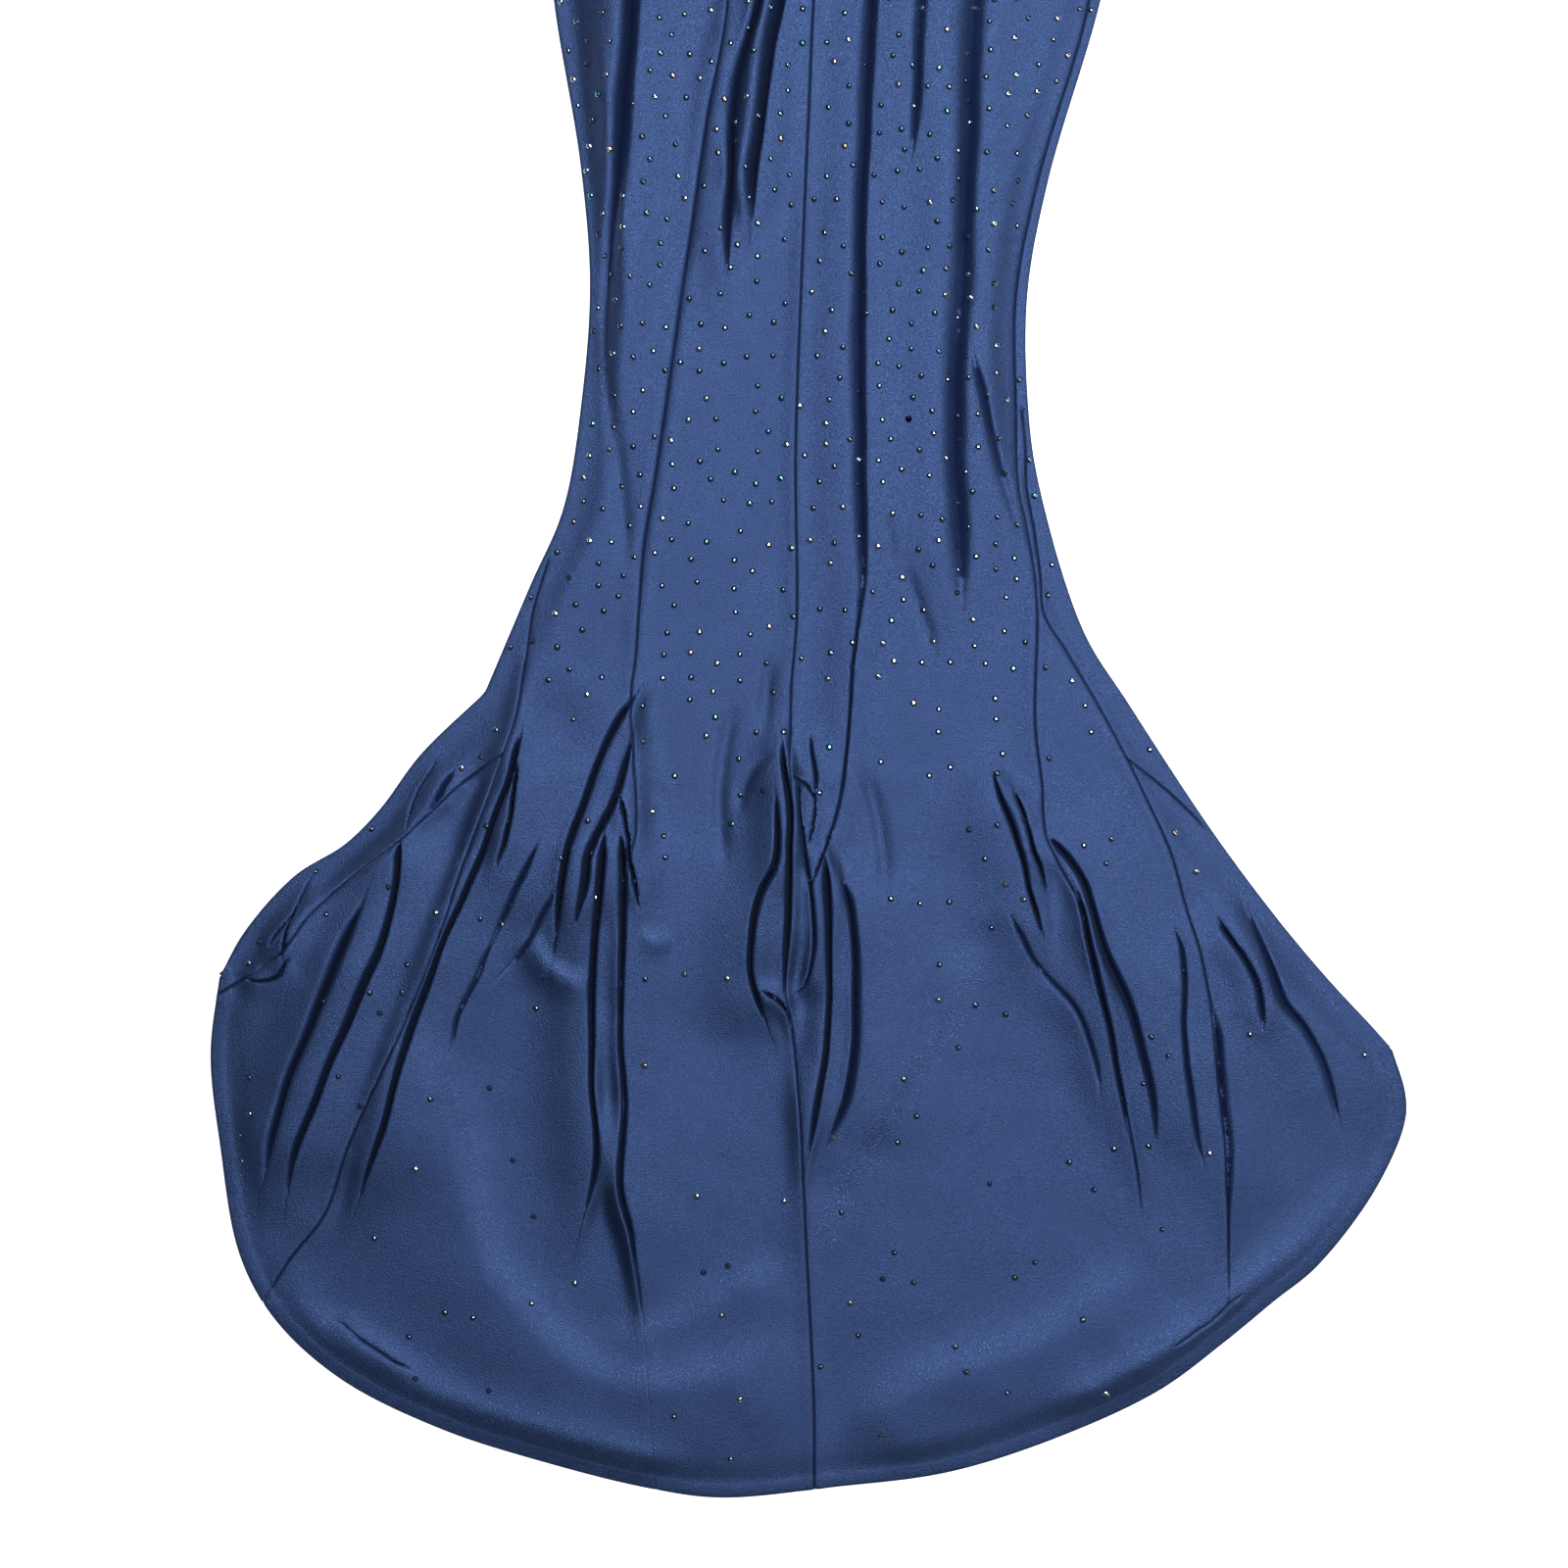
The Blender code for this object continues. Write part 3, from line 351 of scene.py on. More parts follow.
# Folds: a valley with a bank at each side. A bank has its width, how high it stands, how far its
# top runs out, and how far the cloth laps over the valley. A fold fades in at its top and out at
# its foot.
FOLD_COLUMNS = ("name", "left", "right", "fade_top", "fade_foot", "points")
FOLDS = (
    ("godet_left_inner", (6, 9, 14, 1.2), (5, 10, 46, 2.0), 30, 70,
     ((-246, 652), (-255, 614), (-268, 580), (-279, 550), (-294, 513), (-310, 478), (-329, 428),
      (-348, 371), (-364, 314), (-384, 256))),
    ("godet_left_wedge", (3, 7, 9, 0.6), (2.5, 6, 16, 0.8), 25, 30,
     ((-246, 628), (-249, 606), (-252, 585), (-258, 563), (-264, 545))),
    ("godet_left_middle", (7, 9, 34, 0.8), (5, 10, 40, 1.8), 25, 70,
     ((-348, 562), (-352, 524), (-363, 474), (-375, 447), (-390, 413), (-405, 379), (-421, 337),
      (-440, 291), (-446, 256))),
    ("godet_left_outer", (9, 5, 34, 0), (5.5, 6, 30, 0.5), 70, 60,
     ((-380, 512), (-402, 459), (-421, 413), (-440, 367), (-455, 318), (-467, 268))),
    ("princess_left_outer", (7, 8, 46, 0.5), (4, 10, 14, 1.6), 30, 60,
     ((-149, 684), (-169, 650), (-182, 620), (-193, 588), (-204, 556), (-210, 524), (-216, 478))),
    ("princess_left_inner", (5.5, 10, 14, 1.2), (5, 10, 20, 1.4), 35, 50,
     ((-151, 645), (-158, 620), (-169, 588), (-187, 552), (-190, 530), (-197, 495))),
    ("princess_left_beside_seam", (6, 9, 34, 0.8), (4, 11, 9, 1.2), 25, 70,
     ((-173, 562), (-178, 513), (-181, 479), (-184, 440), (-184, 354), (-181, 290), (-192, 240))),
    ("princess_left_seam", (4, 11, 9, 1.2), (6, 9, 46, 0.8), 25, 90,
     ((-160, 562), (-158, 513), (-160, 460), (-161, 406), (-158, 333), (-161, 269), (-152, 226),
      (-146, 185))),
    ("princess_left_right_crease", (3, 5, 8, 0.5), (2.5, 5, 18, 0.8), 20, 30,
     ((-158, 600), (-152, 556), (-144, 508))),
    ("left_soft", (5, 1.4, 22, 0), (4.5, 1.4, 12, 0), 60, 55,
     ((-228, 566), (-246, 528), (-262, 494), (-276, 462))),
    ("left_soft_inner", (4.5, 1.2, 12, 0), (5, 1.2, 22, 0), 60, 60,
     ((-212, 532), (-228, 498), (-250, 462), (-274, 436))),
    ("left_soft_lower", (5, 1.3, 22, 0), (4, 1.5, 24, 0), 50, 40,
     ((-268, 480), (-284, 444), (-300, 410), (-306, 380))),
    ("centre_deep", (5.5, 11, 24, 1.0), (4.5, 11, 7, 1.6), 30, 60,
     ((-22, 644), (-18, 612), (-15, 580), (-15, 556), (-16, 513), (-19, 470), (-20, 436))),
    ("centre_left_curve", (5, 7, 40, 0.5), (4.5, 9, 12, 1.4), 50, 35,
     ((-28, 598), (-28, 545), (-40, 519), (-48, 488), (-49, 452), (-43, 427), (-35, 405))),
    ("centre_left_hook", (2.6, 3.5, 8, 0.5), (2.6, 3, 8, 0.5), 8, 18,
     ((-37, 434), (-27, 428), (-19, 418), (-14, 400))),
    ("centre_loop", (1.8, 2.6, 5, 0.4), (1.8, 2.6, 6, 0.4), 8, 20,
     ((-12, 619), (-1, 611), (6, 597), (6, 582), (1, 560))),
    ("centre_lip", (2.2, 4.5, 7, 0.8), (2.2, 4.5, 9, 0.8), 30, 22,
     ((-7, 612), (-4, 567), (1.5, 527), (4, 491), (3, 460), (-1, 443), (-11, 431))),
    ("centre_small", (3, 3, 10, 0), (2.4, 3, 12, 0.3), 18, 20,
     ((1, 652), (4, 637), (7, 614), (7, 600))),
    ("centre_cross_line", (0.8, 0.12, 5, 0), (0.8, 0.12, 5, 0), 6, 14,
     ((-14, 687), (0, 688), (14, 687))),
    ("centre_pair_left", (6, 9, 16, 1.0), (4, 10, 8, 1.4), 30, 60,
     ((15, 545), (17, 533), (18.5, 460), (17, 390), (11, 354), (0, 292))),
    ("centre_pair_right", (3.5, 8, 8, 0.8), (8, 7, 50, 0), 30, 60,
     ((31, 528), (36, 500), (39, 461), (39, 397), (32, 346), (17, 300))),
    ("centre_right_foot", (2.4, 3.2, 20, 0.3), (2, 3.2, 16, 0.5), 90, 40,
     ((46, 790), (44, 765), (37, 693), (33, 640), (26, 590), (13, 552), (1, 522))),
    ("princess_right_deep", (4.5, 8, 40, 1.2), (3.5, 8, 10, 0.8), 40, 40,
     ((158, 620), (164, 603), (174, 575), (183, 547), (190, 519), (200, 482))),
    ("princess_right_second", (2.6, 5, 8, 0.6), (3.5, 5, 12, 0.6), 20, 30,
     ((178, 604), (188, 573), (194, 552), (204, 522))),
    ("princess_right_outer", (6, 6, 12, 0.5), (5.5, 6, 46, 0.5), 25, 70,
     ((207, 566), (222, 549), (235, 528), (243, 507), (254, 470), (271, 432), (284, 389),
      (296, 337), (298, 295))),
    ("princess_right_seam", (5, 6, 26, 0.5), (4, 7, 9, 1.2), 30, 70,
     ((228, 520), (234, 502), (241, 470), (254, 418), (267, 354), (280, 288))),
    ("princess_right_slant", (5, 2.4, 20, 0), (3.5, 2.2, 16, 0), 40, 60,
     ((172, 500), (182, 483), (192, 463), (209, 441), (229, 420), (243, 385), (251, 340))),
    ("side_right_beside", (5, 2.6, 20, 0), (3.5, 2.6, 18, 0), 50, 45,
     ((312, 490), (320, 469), (322, 399), (327, 349), (334, 307), (340, 280))),
    ("side_right_seam", (5, 3, 24, 0), (9, 5, 34, 0), 50, 60,
     ((346, 420), (350, 390), (354, 350), (359, 300), (360, 230))),
    ("godet_right_long", (11, 4, 32, 0), (4, 3.6, 30, 0.3), 50, 60,
     ((366, 525), (383, 488), (399, 449), (408, 424), (425, 403), (439, 379), (448, 351),
      (458, 305))),
    ("godet_right_short", (8, 3, 18, 0), (2.5, 3.4, 16, 0.6), 25, 25,
     ((350, 497), (371, 466), (383, 446), (388, 421), (389, 402))),
    ("front_left_crease", (3, 3.4, 12, 0.4), (3, 3.4, 12, 0.4), 15, 20,
     ((-318, 632), (-330, 612), (-339, 592), (-343, 572))),
    ("front_left_soft", (5, 3, 14, 0), (4, 3, 12, 0), 15, 20,
     ((-303, 624), (-313, 606), (-325, 586))),
    ("corner_left_crease", (3, 3.4, 14, 0.4), (3, 4, 12, 0.6), 25, 20,
     ((-424, 535), (-436, 510), (-446, 483), (-450, 462))),
    ("corner_left_lip", (3.4, 2.4, 12, 0), (2.6, 4, 10, 1.0), 12, 16,
     ((-484, 446), (-470, 443), (-455, 447), (-444, 462))),
    ("corner_left_soft", (4, 3, 12, 0), (3, 3, 12, 0), 15, 15,
     ((-441, 500), (-452, 486), (-463, 470))),
    ("back_right_long", (14, 5.5, 30, 0), (6, 5, 30, 0.3), 150, 120,
     ((62, 1500), (55, 1284), (50, 1184), (47, 1117), (45, 1025), (45, 932), (46, 882), (47, 790),
      (44, 740))),
    ("back_right_band", (21, 7, 34, 0), (13, 5.5, 28, 0), 140, 110,
     ((152, 1480), (143, 1284), (132, 1032), (127, 965), (126, 899), (130, 830), (131, 745))),
    ("back_right_branch", (10, 2.4, 20, 0), (7, 2.4, 22, 0), 60, 60,
     ((140, 985), (154, 924), (164, 882), (174, 850), (183, 818))),
    ("back_left_band", (14, 12, 24, 0), (10, 10, 34, 0), 140, 100,
     ((-134, 1480), (-150, 1284), (-158, 1183), (-168, 1082), (-174, 1010), (-174, 960))),
    ("back_left_mid", (10, 7, 24, 0), (4, 5, 12, 0), 120, 80,
     ((-34, 1480), (-41, 1284), (-52, 1243), (-62, 1194), (-66, 1120), (-70, 1040))),
    ("back_left_mid_inner", (12, 11, 12, 0), (4, 8, 24, 0.6), 120, 50,
     ((-12, 1480), (-22, 1284), (-31, 1236), (-37, 1194), (-44, 1140), (-48, 1095))),
    ("back_right_faint", (9, 2.6, 26, 0), (7, 2.6, 24, 0), 120, 70,
     ((104, 1460), (96, 1284), (93, 1200), (87, 1140))),
    ("left_hem_crease", (3, 1.3, 9, 0), (4, 1.3, 9, 0), 14, 16,
     ((-405, 153), (-373, 129), (-338, 109))),
    ("right_hem_crease", (3, 1.3, 9, 0), (4, 1.3, 9, 0), 14, 16,
     ((372, 176), (342, 149), (312, 129))),
)

# Soft ridges where the train billows a little
RIDGE_COLUMNS = ("name", "height", "left", "right", "fade", "points")
RIDGES = (
    ("train_centre", 2.2, 34, 22, 60,
     ((128, 500), (134, 449), (121, 406), (91, 363), (61, 316), (22, 247), (-4, 196))),
    ("train_left_arc", 6.6, 76, 26, 80,
     ((-322, 425), (-310, 365), (-300, 335), (-264, 204), (-221, 149), (-178, 116), (-136, 106),
      (-71, 118), (-8, 156))),
    ("train_left_inner_arc", 3.6, 40, 18, 50,
     ((-190, 140), (-150, 144), (-114, 157), (-71, 183), (-10, 206))),
    ("train_left_hem", 5.8, 40, 24, 70,
     ((-462, 198), (-418, 153), (-350, 116), (-285, 82), (-221, 60), (-157, 44), (-85, 36))),
    ("train_right_arc", 6.6, 76, 26, 70,
     ((5, 46), (87, 106), (194, 144), (290, 214))),
    ("train_right_hem", 5.8, 40, 24, 60,
     ((190, 80), (279, 118), (335, 157), (400, 206), (464, 262), (488, 304))),
    ("under_princess_left", 4, 16, 8, 24,
     ((-236, 492), (-222, 462), (-200, 448), (-180, 447))),
    ("beside_princess_left", 3, 14, 6, 16,
     ((-148, 486), (-128, 482), (-112, 476))),
    ("princess_left_dip", -1.8, 5, 5, 80,
     ((-69, 1284), (-87, 1179), (-102, 1074), (-115, 984), (-131, 874), (-141, 813), (-148, 740))),
    ("centre_left_dip", -3.0, 5, 6, 40,
     ((-60, 690), (-70, 650), (-76, 610), (-75, 570), (-70, 530))),
    ("centre_left_upper_dip", -3.2, 5, 6, 35,
     ((-32, 730), (-36, 690), (-40, 645))),
    ("centre_left_curved_dip", -2.2, 4, 4, 18,
     ((-26, 640), (-44, 628), (-56, 606), (-60, 582))),
    ("centre_right_dip", -3.0, 4, 7, 30,
     ((46, 630), (57, 591), (63, 556), (65, 512))),
    ("back_left_band_dip", -2.6, 7, 6, 60,
     ((-176, 1000), (-171, 948), (-160, 863), (-155, 785))),
    ("back_right_small_dip", -2.2, 5, 4, 26,
     ((82, 802), (91, 775), (103, 740), (109, 714))),
    ("back_right_smallest_dip", -1.6, 4, 4, 16,
     ((66, 846), (69, 822), (70, 796))),
)


def roll_widths(edge):
    """How far a rolled edge reaches in along a side edge: it narrows to the hem's corner."""
    lengths = lengths_of(edge)
    full = smoothstep(lengths[-1] - lengths, 0, ROLL_TAPER)[:, None]
    return ROLL_LEAST + (EDGE_ROLL - ROLL_LEAST) * full


LEFT_ROLL = shifted(LEFT_EDGE, roll_widths(LEFT_EDGE))
RIGHT_ROLL = shifted(RIGHT_EDGE, -roll_widths(RIGHT_EDGE))
SIDE_EDGES = LEFT_EDGE[::3], RIGHT_EDGE[::3]


def away_from_edge(points, reach):
    """How far each point is from the nearer side edge."""
    return np.min([away_from(points, line, reach) for line in SIDE_EDGES], axis=0)


# Each seam, and the height below which it is pressed so flat that it hardly shows
SEAM_LINES = (
    (CENTRE_BACK, 0), (PRINCESS_LEFT, 190), (PRINCESS_RIGHT, 280), (SIDE_LEFT, 200),
    (SIDE_RIGHT, 210), (GODET_LEFT_FRONT, 0), (GODET_RIGHT_FRONT, 0),
)
SEAMS = [(line[::2], foot) for line, foot in SEAM_LINES]
FOLD_ROWS = [dict(zip(FOLD_COLUMNS, row)) for row in FOLDS]
RIDGE_ROWS = [dict(zip(RIDGE_COLUMNS, row)) for row in RIDGES]


def led_on(line, before, after):
    """The line led on straight past its two ends."""
    first = line[0] - line[1]
    last = line[-1] - line[-2]
    start = line[0] + first / np.linalg.norm(first) * before
    end = line[-1] + last / np.linalg.norm(last) * after
    return np.vstack([start, line, end])


def ripple(place, number, length):
    """An uneven wave between -1 and 1 along a fold, different for each fold."""
    turn = place / length * math.tau
    return sum(
        share * np.sin(rate * turn + phase * number) for share, rate, phase in RIPPLE_WAVES
    )


for lie in FOLD_ROWS + RIDGE_ROWS:
    lie["line"] = smooth(lie["points"], LINE_STEP)
for ridge in RIDGE_ROWS:
    steeper = ridge["right"] if ridge["left"] > ridge["right"] else -ridge["left"]
    ridge["lit"] = PRESSED_STEP * steeper
    if ridge["height"] > 0:
        ridge["line"] = shifted(ridge["line"], -ridge["lit"])
for number, fold in enumerate(FOLD_ROWS):
    fold["number"] = number
    high = max(fold["left"][1], fold["right"][1])
    fold["depth"] = min(1, high / FULL_DEPTH)
    swell = FOLD_SWELL * high
    fold["lead"] = FOLD_LEAD * fold["fade_top"] + swell
    fold["trail"] = FOLD_LEAD * fold["fade_foot"] + swell
    straight = led_on(fold["line"], fold["lead"], fold["trail"])
    wave = WAVE_SHARE * lengths_of(straight)[-1]
    fold["wave"] = np.clip(wave, SHORTEST_WAVE, LONGEST_WAVE)
    sway = FOLD_SWAY * ripple(lengths_of(straight), number + 0.2, fold["wave"] / 2)
    fold["line"] = shifted(straight, sway[:, None])
    fold["length"] = lengths_of(fold["line"])[-1]


def crumple(points):
    """Slight unevenness of cloth that was laid by hand, from -1 to 1."""
    x, y = points.T
    warp_x = x + 14 * np.sin(y / 61 + 0.4) + 9 * np.sin(y / 23 - x / 47)
    warp_y = y + 16 * np.sin(x / 53 + 1.1) + 8 * np.sin(x / 29 + y / 71)
    waves = (
        np.sin(warp_x / 17 + warp_y / 41)
        + np.sin(warp_x / 29 - warp_y / 19 + 2)
        + 0.7 * np.sin(warp_x / 11 + 1.3) * np.sin(warp_y / 15)
        + 0.6 * np.sin(warp_y / 9 + warp_x / 37)
    )
    return waves / 3.3


def opening(row, place):
    """How far a fold stands up, and how far its valley opens, at lengths along its line."""
    stand = shown = 1
    for away, lead, fade, share in (
        (place, row["lead"], row["fade_top"], OPENING_TOP),
        (row["length"] - place, row["trail"], row["fade_foot"], OPENING_FOOT),
    ):
        stand = stand * smoothstep(away, 0, lead + fade)
        shown = shown * smoothstep(away, OPENING_START * lead, lead + share * fade)
    return stand, shown


def bank_width(row, which, place, shown):
    """How wide a fold's bank is: a little uneven, and narrower where its valley closes."""
    uneven = 1 + WIDTH_RIPPLE * ripple(place, row["number"], row["wave"])
    return VALLEY_SPREAD * row[which][0] * uneven * (CLOSED_WIDTH + OPENED_WIDTH * shown)


def bank(row, which, place, away, shown):
    """A fold's bank on one side: how high, how hollow its valley is, and how far it laps over."""
    high, run, lap = row[which][1:]
    high = high * (1 + HEIGHT_RIPPLE * ripple(place, row["number"] + 0.5, 1.6 * row["wave"]))
    width = bank_width(row, which, place, shown)
    beyond = np.maximum(away - width, 0)
    top = np.exp(-((beyond / (run * (CLOSED_RUN + OPENED_RUN * shown))) ** 2))
    hollow = row["depth"] * (1 - np.clip(away / width, 0, 1)) ** VALLEY_SHARPNESS
    over = lap * smoothstep(away, 0.25 * width, width) * np.exp(-((beyond / LAP_RUN) ** 2))
    return high * top, hollow, over


def fading(row, place):
    """How far a ridge stands at lengths along its line."""
    after = lengths_of(row["line"])[-1] - place
    return smoothstep(place, 0, row["fade"]) * smoothstep(after, 0, row["fade"])


def pressed(points):
    """How smooth the cloth is drawn along the train's ridges, from 0 to 1."""
    share = np.zeros(len(points))
    for row in RIDGE_ROWS:
        if row["height"] > 0:
            place, side = measure_near(points, row["line"], 3 * PRESSED_HALF)
            beside = (side - row["lit"]) / PRESSED_HALF
            most = MOST_PRESSED.get(row["name"], 1.0)
            share = np.maximum(share, most * fading(row, place) * np.exp(-(beside**2)))
    return share


def folds(points):
    """How high the folded cloth stands over its flat lie, and how far it moves sideways."""
    rise = np.zeros(len(points))
    cut = np.ones(len(points))
    move = np.zeros((len(points), 2))
    for row in FOLD_ROWS:
        sides = row["left"], row["right"]
        reach = max(WIDTH_REACH * width + RUN_REACH * run for width, high, run, lap in sides)
        place, side = measure_near(points, row["line"], reach)
        near = np.flatnonzero(np.abs(side) < reach)
        place = place[near]
        side = side[near]
        stand, shown = opening(row, place)
        left = bank(row, "left", place, -side, shown)
        right = bank(row, "right", place, side, shown)
        high, hollow, over = (np.where(side > 0, b, a) for a, b in zip(left, right))
        rise[near] += stand * high
        cut[near] *= 1 - shown * hollow
        across = at_place(row["line"], place, normals_of(row["line"]))
        move[near] -= across * (np.sign(side) * shown * over)[:, None]
    for row in RIDGE_ROWS:
        reach = RIDGE_REACH * max(row["left"], row["right"])
        place, side = measure_near(points, row["line"], reach)
        half = np.where(side > 0, row["right"], row["left"])
        rise += fading(row, place) * row["height"] * np.exp(-((side / half) ** 2))
    rise /= (1 + (rise / TALLEST_FOLD) ** HOLD_SHARPNESS) ** (1 / HOLD_SHARPNESS)
    return rise, cut, move


def drape(points):
    """Where the cloth's outer face lies in space, for points of its flat lie."""
    rise, cut, move = folds(points)
    edge = away_from_edge(points, EDGE_REACH)
    hem = away_from(points, HEM, EDGE_REACH)
    past = -measure_near(points, FRONT_HEM[::3], DROP_REACH)[1]
    beyond = np.interp(points[:, 0], FRONT_HEM[:, 0], FRONT_HEM[:, 1]) - points[:, 1]
    past = np.where(np.abs(past) < FAR, past, np.copysign(FAR, beyond))
    settle = smoothstep(edge, 0, LOFT_RISE) * smoothstep(hem, 0, LOFT_RISE)
    rise += BODY_LOFT * smoothstep(edge, EDGE_ROLL, LOFT_RISE) * smoothstep(past, *LOFT_FADE)
    rise += (PUCKER + TRAIN_PUCKER * smoothstep(past, *PUCKER_FADE)) * (crumple(points) + 1)
    rise = np.maximum(rise, 0)
    lie = (CLOTH + LAYER_GAP) * (1 - smoothstep(past, DROP_START, DROP_END))
    height = lie + rise * cut * settle + CLOTH
    lift = np.zeros(len(points))
    dip = np.zeros(len(points))
    for line, foot in SEAMS:
        away = away_from(points, line, 3 * SEAM_ALLOWANCE)
        clear = smoothstep(points[:, 1], *(foot + fade for fade in FAINT_SEAM_FADE))
        shows = FAINT_SEAM + (1 - FAINT_SEAM) * clear
        lift = np.maximum(lift, shows * np.exp(-((away / SEAM_ALLOWANCE) ** 2)))
        dip = np.maximum(dip, shows * (1 - np.clip(away / SEAM_DIP_WIDTH, 0, 1)) ** 2)
    height += SEAM_LIFT * lift * smoothstep(edge, 0, LOFT_RISE)
    height -= SEAM_DIP * dip * smoothstep(edge, *SEAM_DIP_FADE)
    turned = 1 - smoothstep(hem, HEM_TURN - HEM_TURN_STEP, HEM_TURN + HEM_TURN_STEP)
    height += HEM_TURN_EXTRA * turned
    height -= STITCH_GROOVE * np.exp(-(((hem - STITCH_LINE) / STITCH_GROOVE_WIDTH) ** 2))
    height -= HEM_EDGE_DROP * (1 - np.clip(hem / HEM_EDGE_ROUND, 0, 1)) ** 2
    move *= settle[:, None]
    return np.column_stack([points + move, height])


def panel_outline(*runs):
    """A panel's outline on the floor, anticlockwise, and where in it each rolled stretch lies.

    A run is a line to follow, how far it is shifted and its stops, or else the points of a
    stretch that rolls round the gown's edge.
    """
    rolled = [not isinstance(run, tuple) for run in runs]
    laid = [
        run if rolls else stretch(shifted(run[0], run[1]), run[2:])
        for run, rolls in zip(runs, rolled)
    ]
    points = []
    rolls = []
    for index, run in enumerate(laid):
        following = (index + 1) % len(laid)
        if rolled[index]:
            rolls.append(list(range(len(points), len(points) + len(run))))
        else:
            if np.linalg.norm(run[0] - laid[index - 1][-1]) < SAME_POINT:
                run = run[1:]
            if rolled[following] and np.linalg.norm(run[-1] - laid[following][0]) < SAME_POINT:
                run = run[:-1]
        points.extend(run)
    return np.array(points), rolls


def seam_rows():
    """Rows of points beside each seam and inside the hem, where the cloth dips or turns."""
    rows = [
        (line, side * distance)
        for line, foot in SEAM_LINES
        for distance in SEAM_ROWS
        for side in (-1, 1)
    ]
    rows += [(HEM, distance) for distance in HEM_ROWS]
    return [stretch(shifted(line, distance), (line[0], line[-1])) for line, distance in rows]


def fold_rows():
    """Rows of points along the valley and the banks of each fold."""
    rows = []
    for row in FOLD_ROWS:
        line = row["line"]
        place = lengths_of(line)
        shown = opening(row, place)[1]
        offsets = [0 * place]
        for side, which in ((-1, "left"), (1, "right")):
            width = bank_width(row, which, place, shown)
            offsets += [side * width * share for share in BANK_ROWS]
            offsets += [side * (width + distance) for distance in BEYOND_BANK_ROWS]
        for offset in offsets:
            moved = shifted(line, offset[:, None])
            rows.append(stretch(moved, (moved[0], moved[-1]), FOLD_STEP))
    return rows


def grid_points(step, low, high):
    """Evenly spaced points over the gown between two heights, in staggered rows."""
    columns = np.arange(HEM[:, 0].min(), HEM[:, 0].max(), step)
    heights = np.arange(low, high, step * math.sqrt(0.75))
    return np.vstack([
        np.column_stack([columns + row % 2 * step / 2, np.full(len(columns), height)])
        for row, height in enumerate(heights)
    ])


UPPER_ROWS = np.vstack(seam_rows() + fold_rows())
UPPER_GRID = np.vstack([
    grid_points(GRID_STEP, 0, UPPER_GRID_START),
    grid_points(UPPER_GRID_STEP, UPPER_GRID_START, GOWN_LENGTH),
])
UNDER_GRID = grid_points(UNDER_STEP, 0, GOWN_LENGTH)


def inside(points, outline):
    """Which points lie inside a closed outline."""
    within = np.zeros(len(points), bool)
    for (x0, y0), (x1, y1) in zip(outline, np.roll(outline, -1, axis=0)):
        if y0 == y1:
            continue
        crosses = (y0 > points[:, 1]) != (y1 > points[:, 1])
        within ^= crosses & (points[:, 0] < (x1 - x0) * (points[:, 1] - y0) / (y1 - y0) + x0)
    return within


def inside_clear(points, outline, gap):
    """The points inside an outline, clear of it by a gap."""
    low = outline.min(axis=0)
    high = outline.max(axis=0)
    points = points[((points > low) & (points < high)).all(axis=1)]
    points = points[inside(points, outline)]
    ring = np.vstack([outline, outline[:1]])
    return points[away_from(points, ring, gap + 1) > gap]


def spaced(points, gap, kept=()):
    """The points that lie a gap or more from the kept ones and from each other."""
    cells = {}
    found = []
    for point in [*kept, *points]:
        column, row = int(point[0] // gap), int(point[1] // gap)
        near = [
            other
            for i in (column - 1, column, column + 1)
            for j in (row - 1, row, row + 1)
            for other in cells.get((i, j), ())
        ]
        fixed = len(found) < len(kept)
        if fixed or all((point[0] - x) ** 2 + (point[1] - y) ** 2 > gap * gap for x, y in near):
            cells.setdefault((column, row), []).append(tuple(point))
            found.append(tuple(point))
    return found


def filled(outline, rolls, rows, grid):
    """An outline filled with triangles, and where its rolled stretches went."""
    kept = []
    if len(rows):
        kept = spaced(inside_clear(rows, outline, ROW_FROM_OUTLINE).tolist(), CLOSEST_POINTS)
    kept = spaced(inside_clear(grid, outline, GRID_FROM_OUTLINE).tolist(), GRID_CLEARANCE, kept)
    points = [tuple(point) for point in outline] + kept
    found = delaunay_2d_cdt(points, [], [list(range(len(outline)))], TRIANGLES_INSIDE, TOUCHING)
    flat = np.array([tuple(point) for point in found[0]])
    places = {source: index for index, sources in enumerate(found[3]) for source in sources}
    faces = [tuple(face) for face in found[2]]
    return flat, faces, [[places[i] for i in roll] for roll in rolls]


ROLL_TURNS = np.radians((70, 50, 30, 10, -10, -30, -50, -70))
SHARPEST_FOLD = math.radians(75)


def rolled_rows(run, high):
    """The rows of points between the upper layer and the lower one, round a rolled edge."""
    wide = away_from_edge(run, 2 * EDGE_ROLL)
    outward = -normals_of(run) * wide[:, None]
    return [
        np.column_stack([run + outward * math.cos(turn), high / 2 * (1 + math.sin(turn))])
        for turn in ROLL_TURNS
    ]


def bridge(row, following):
    """Faces from one row of points to the next, outwards round the edge."""
    return [(b, a, c, d) for a, b, c, d in zip(row, row[1:], following, following[1:])]


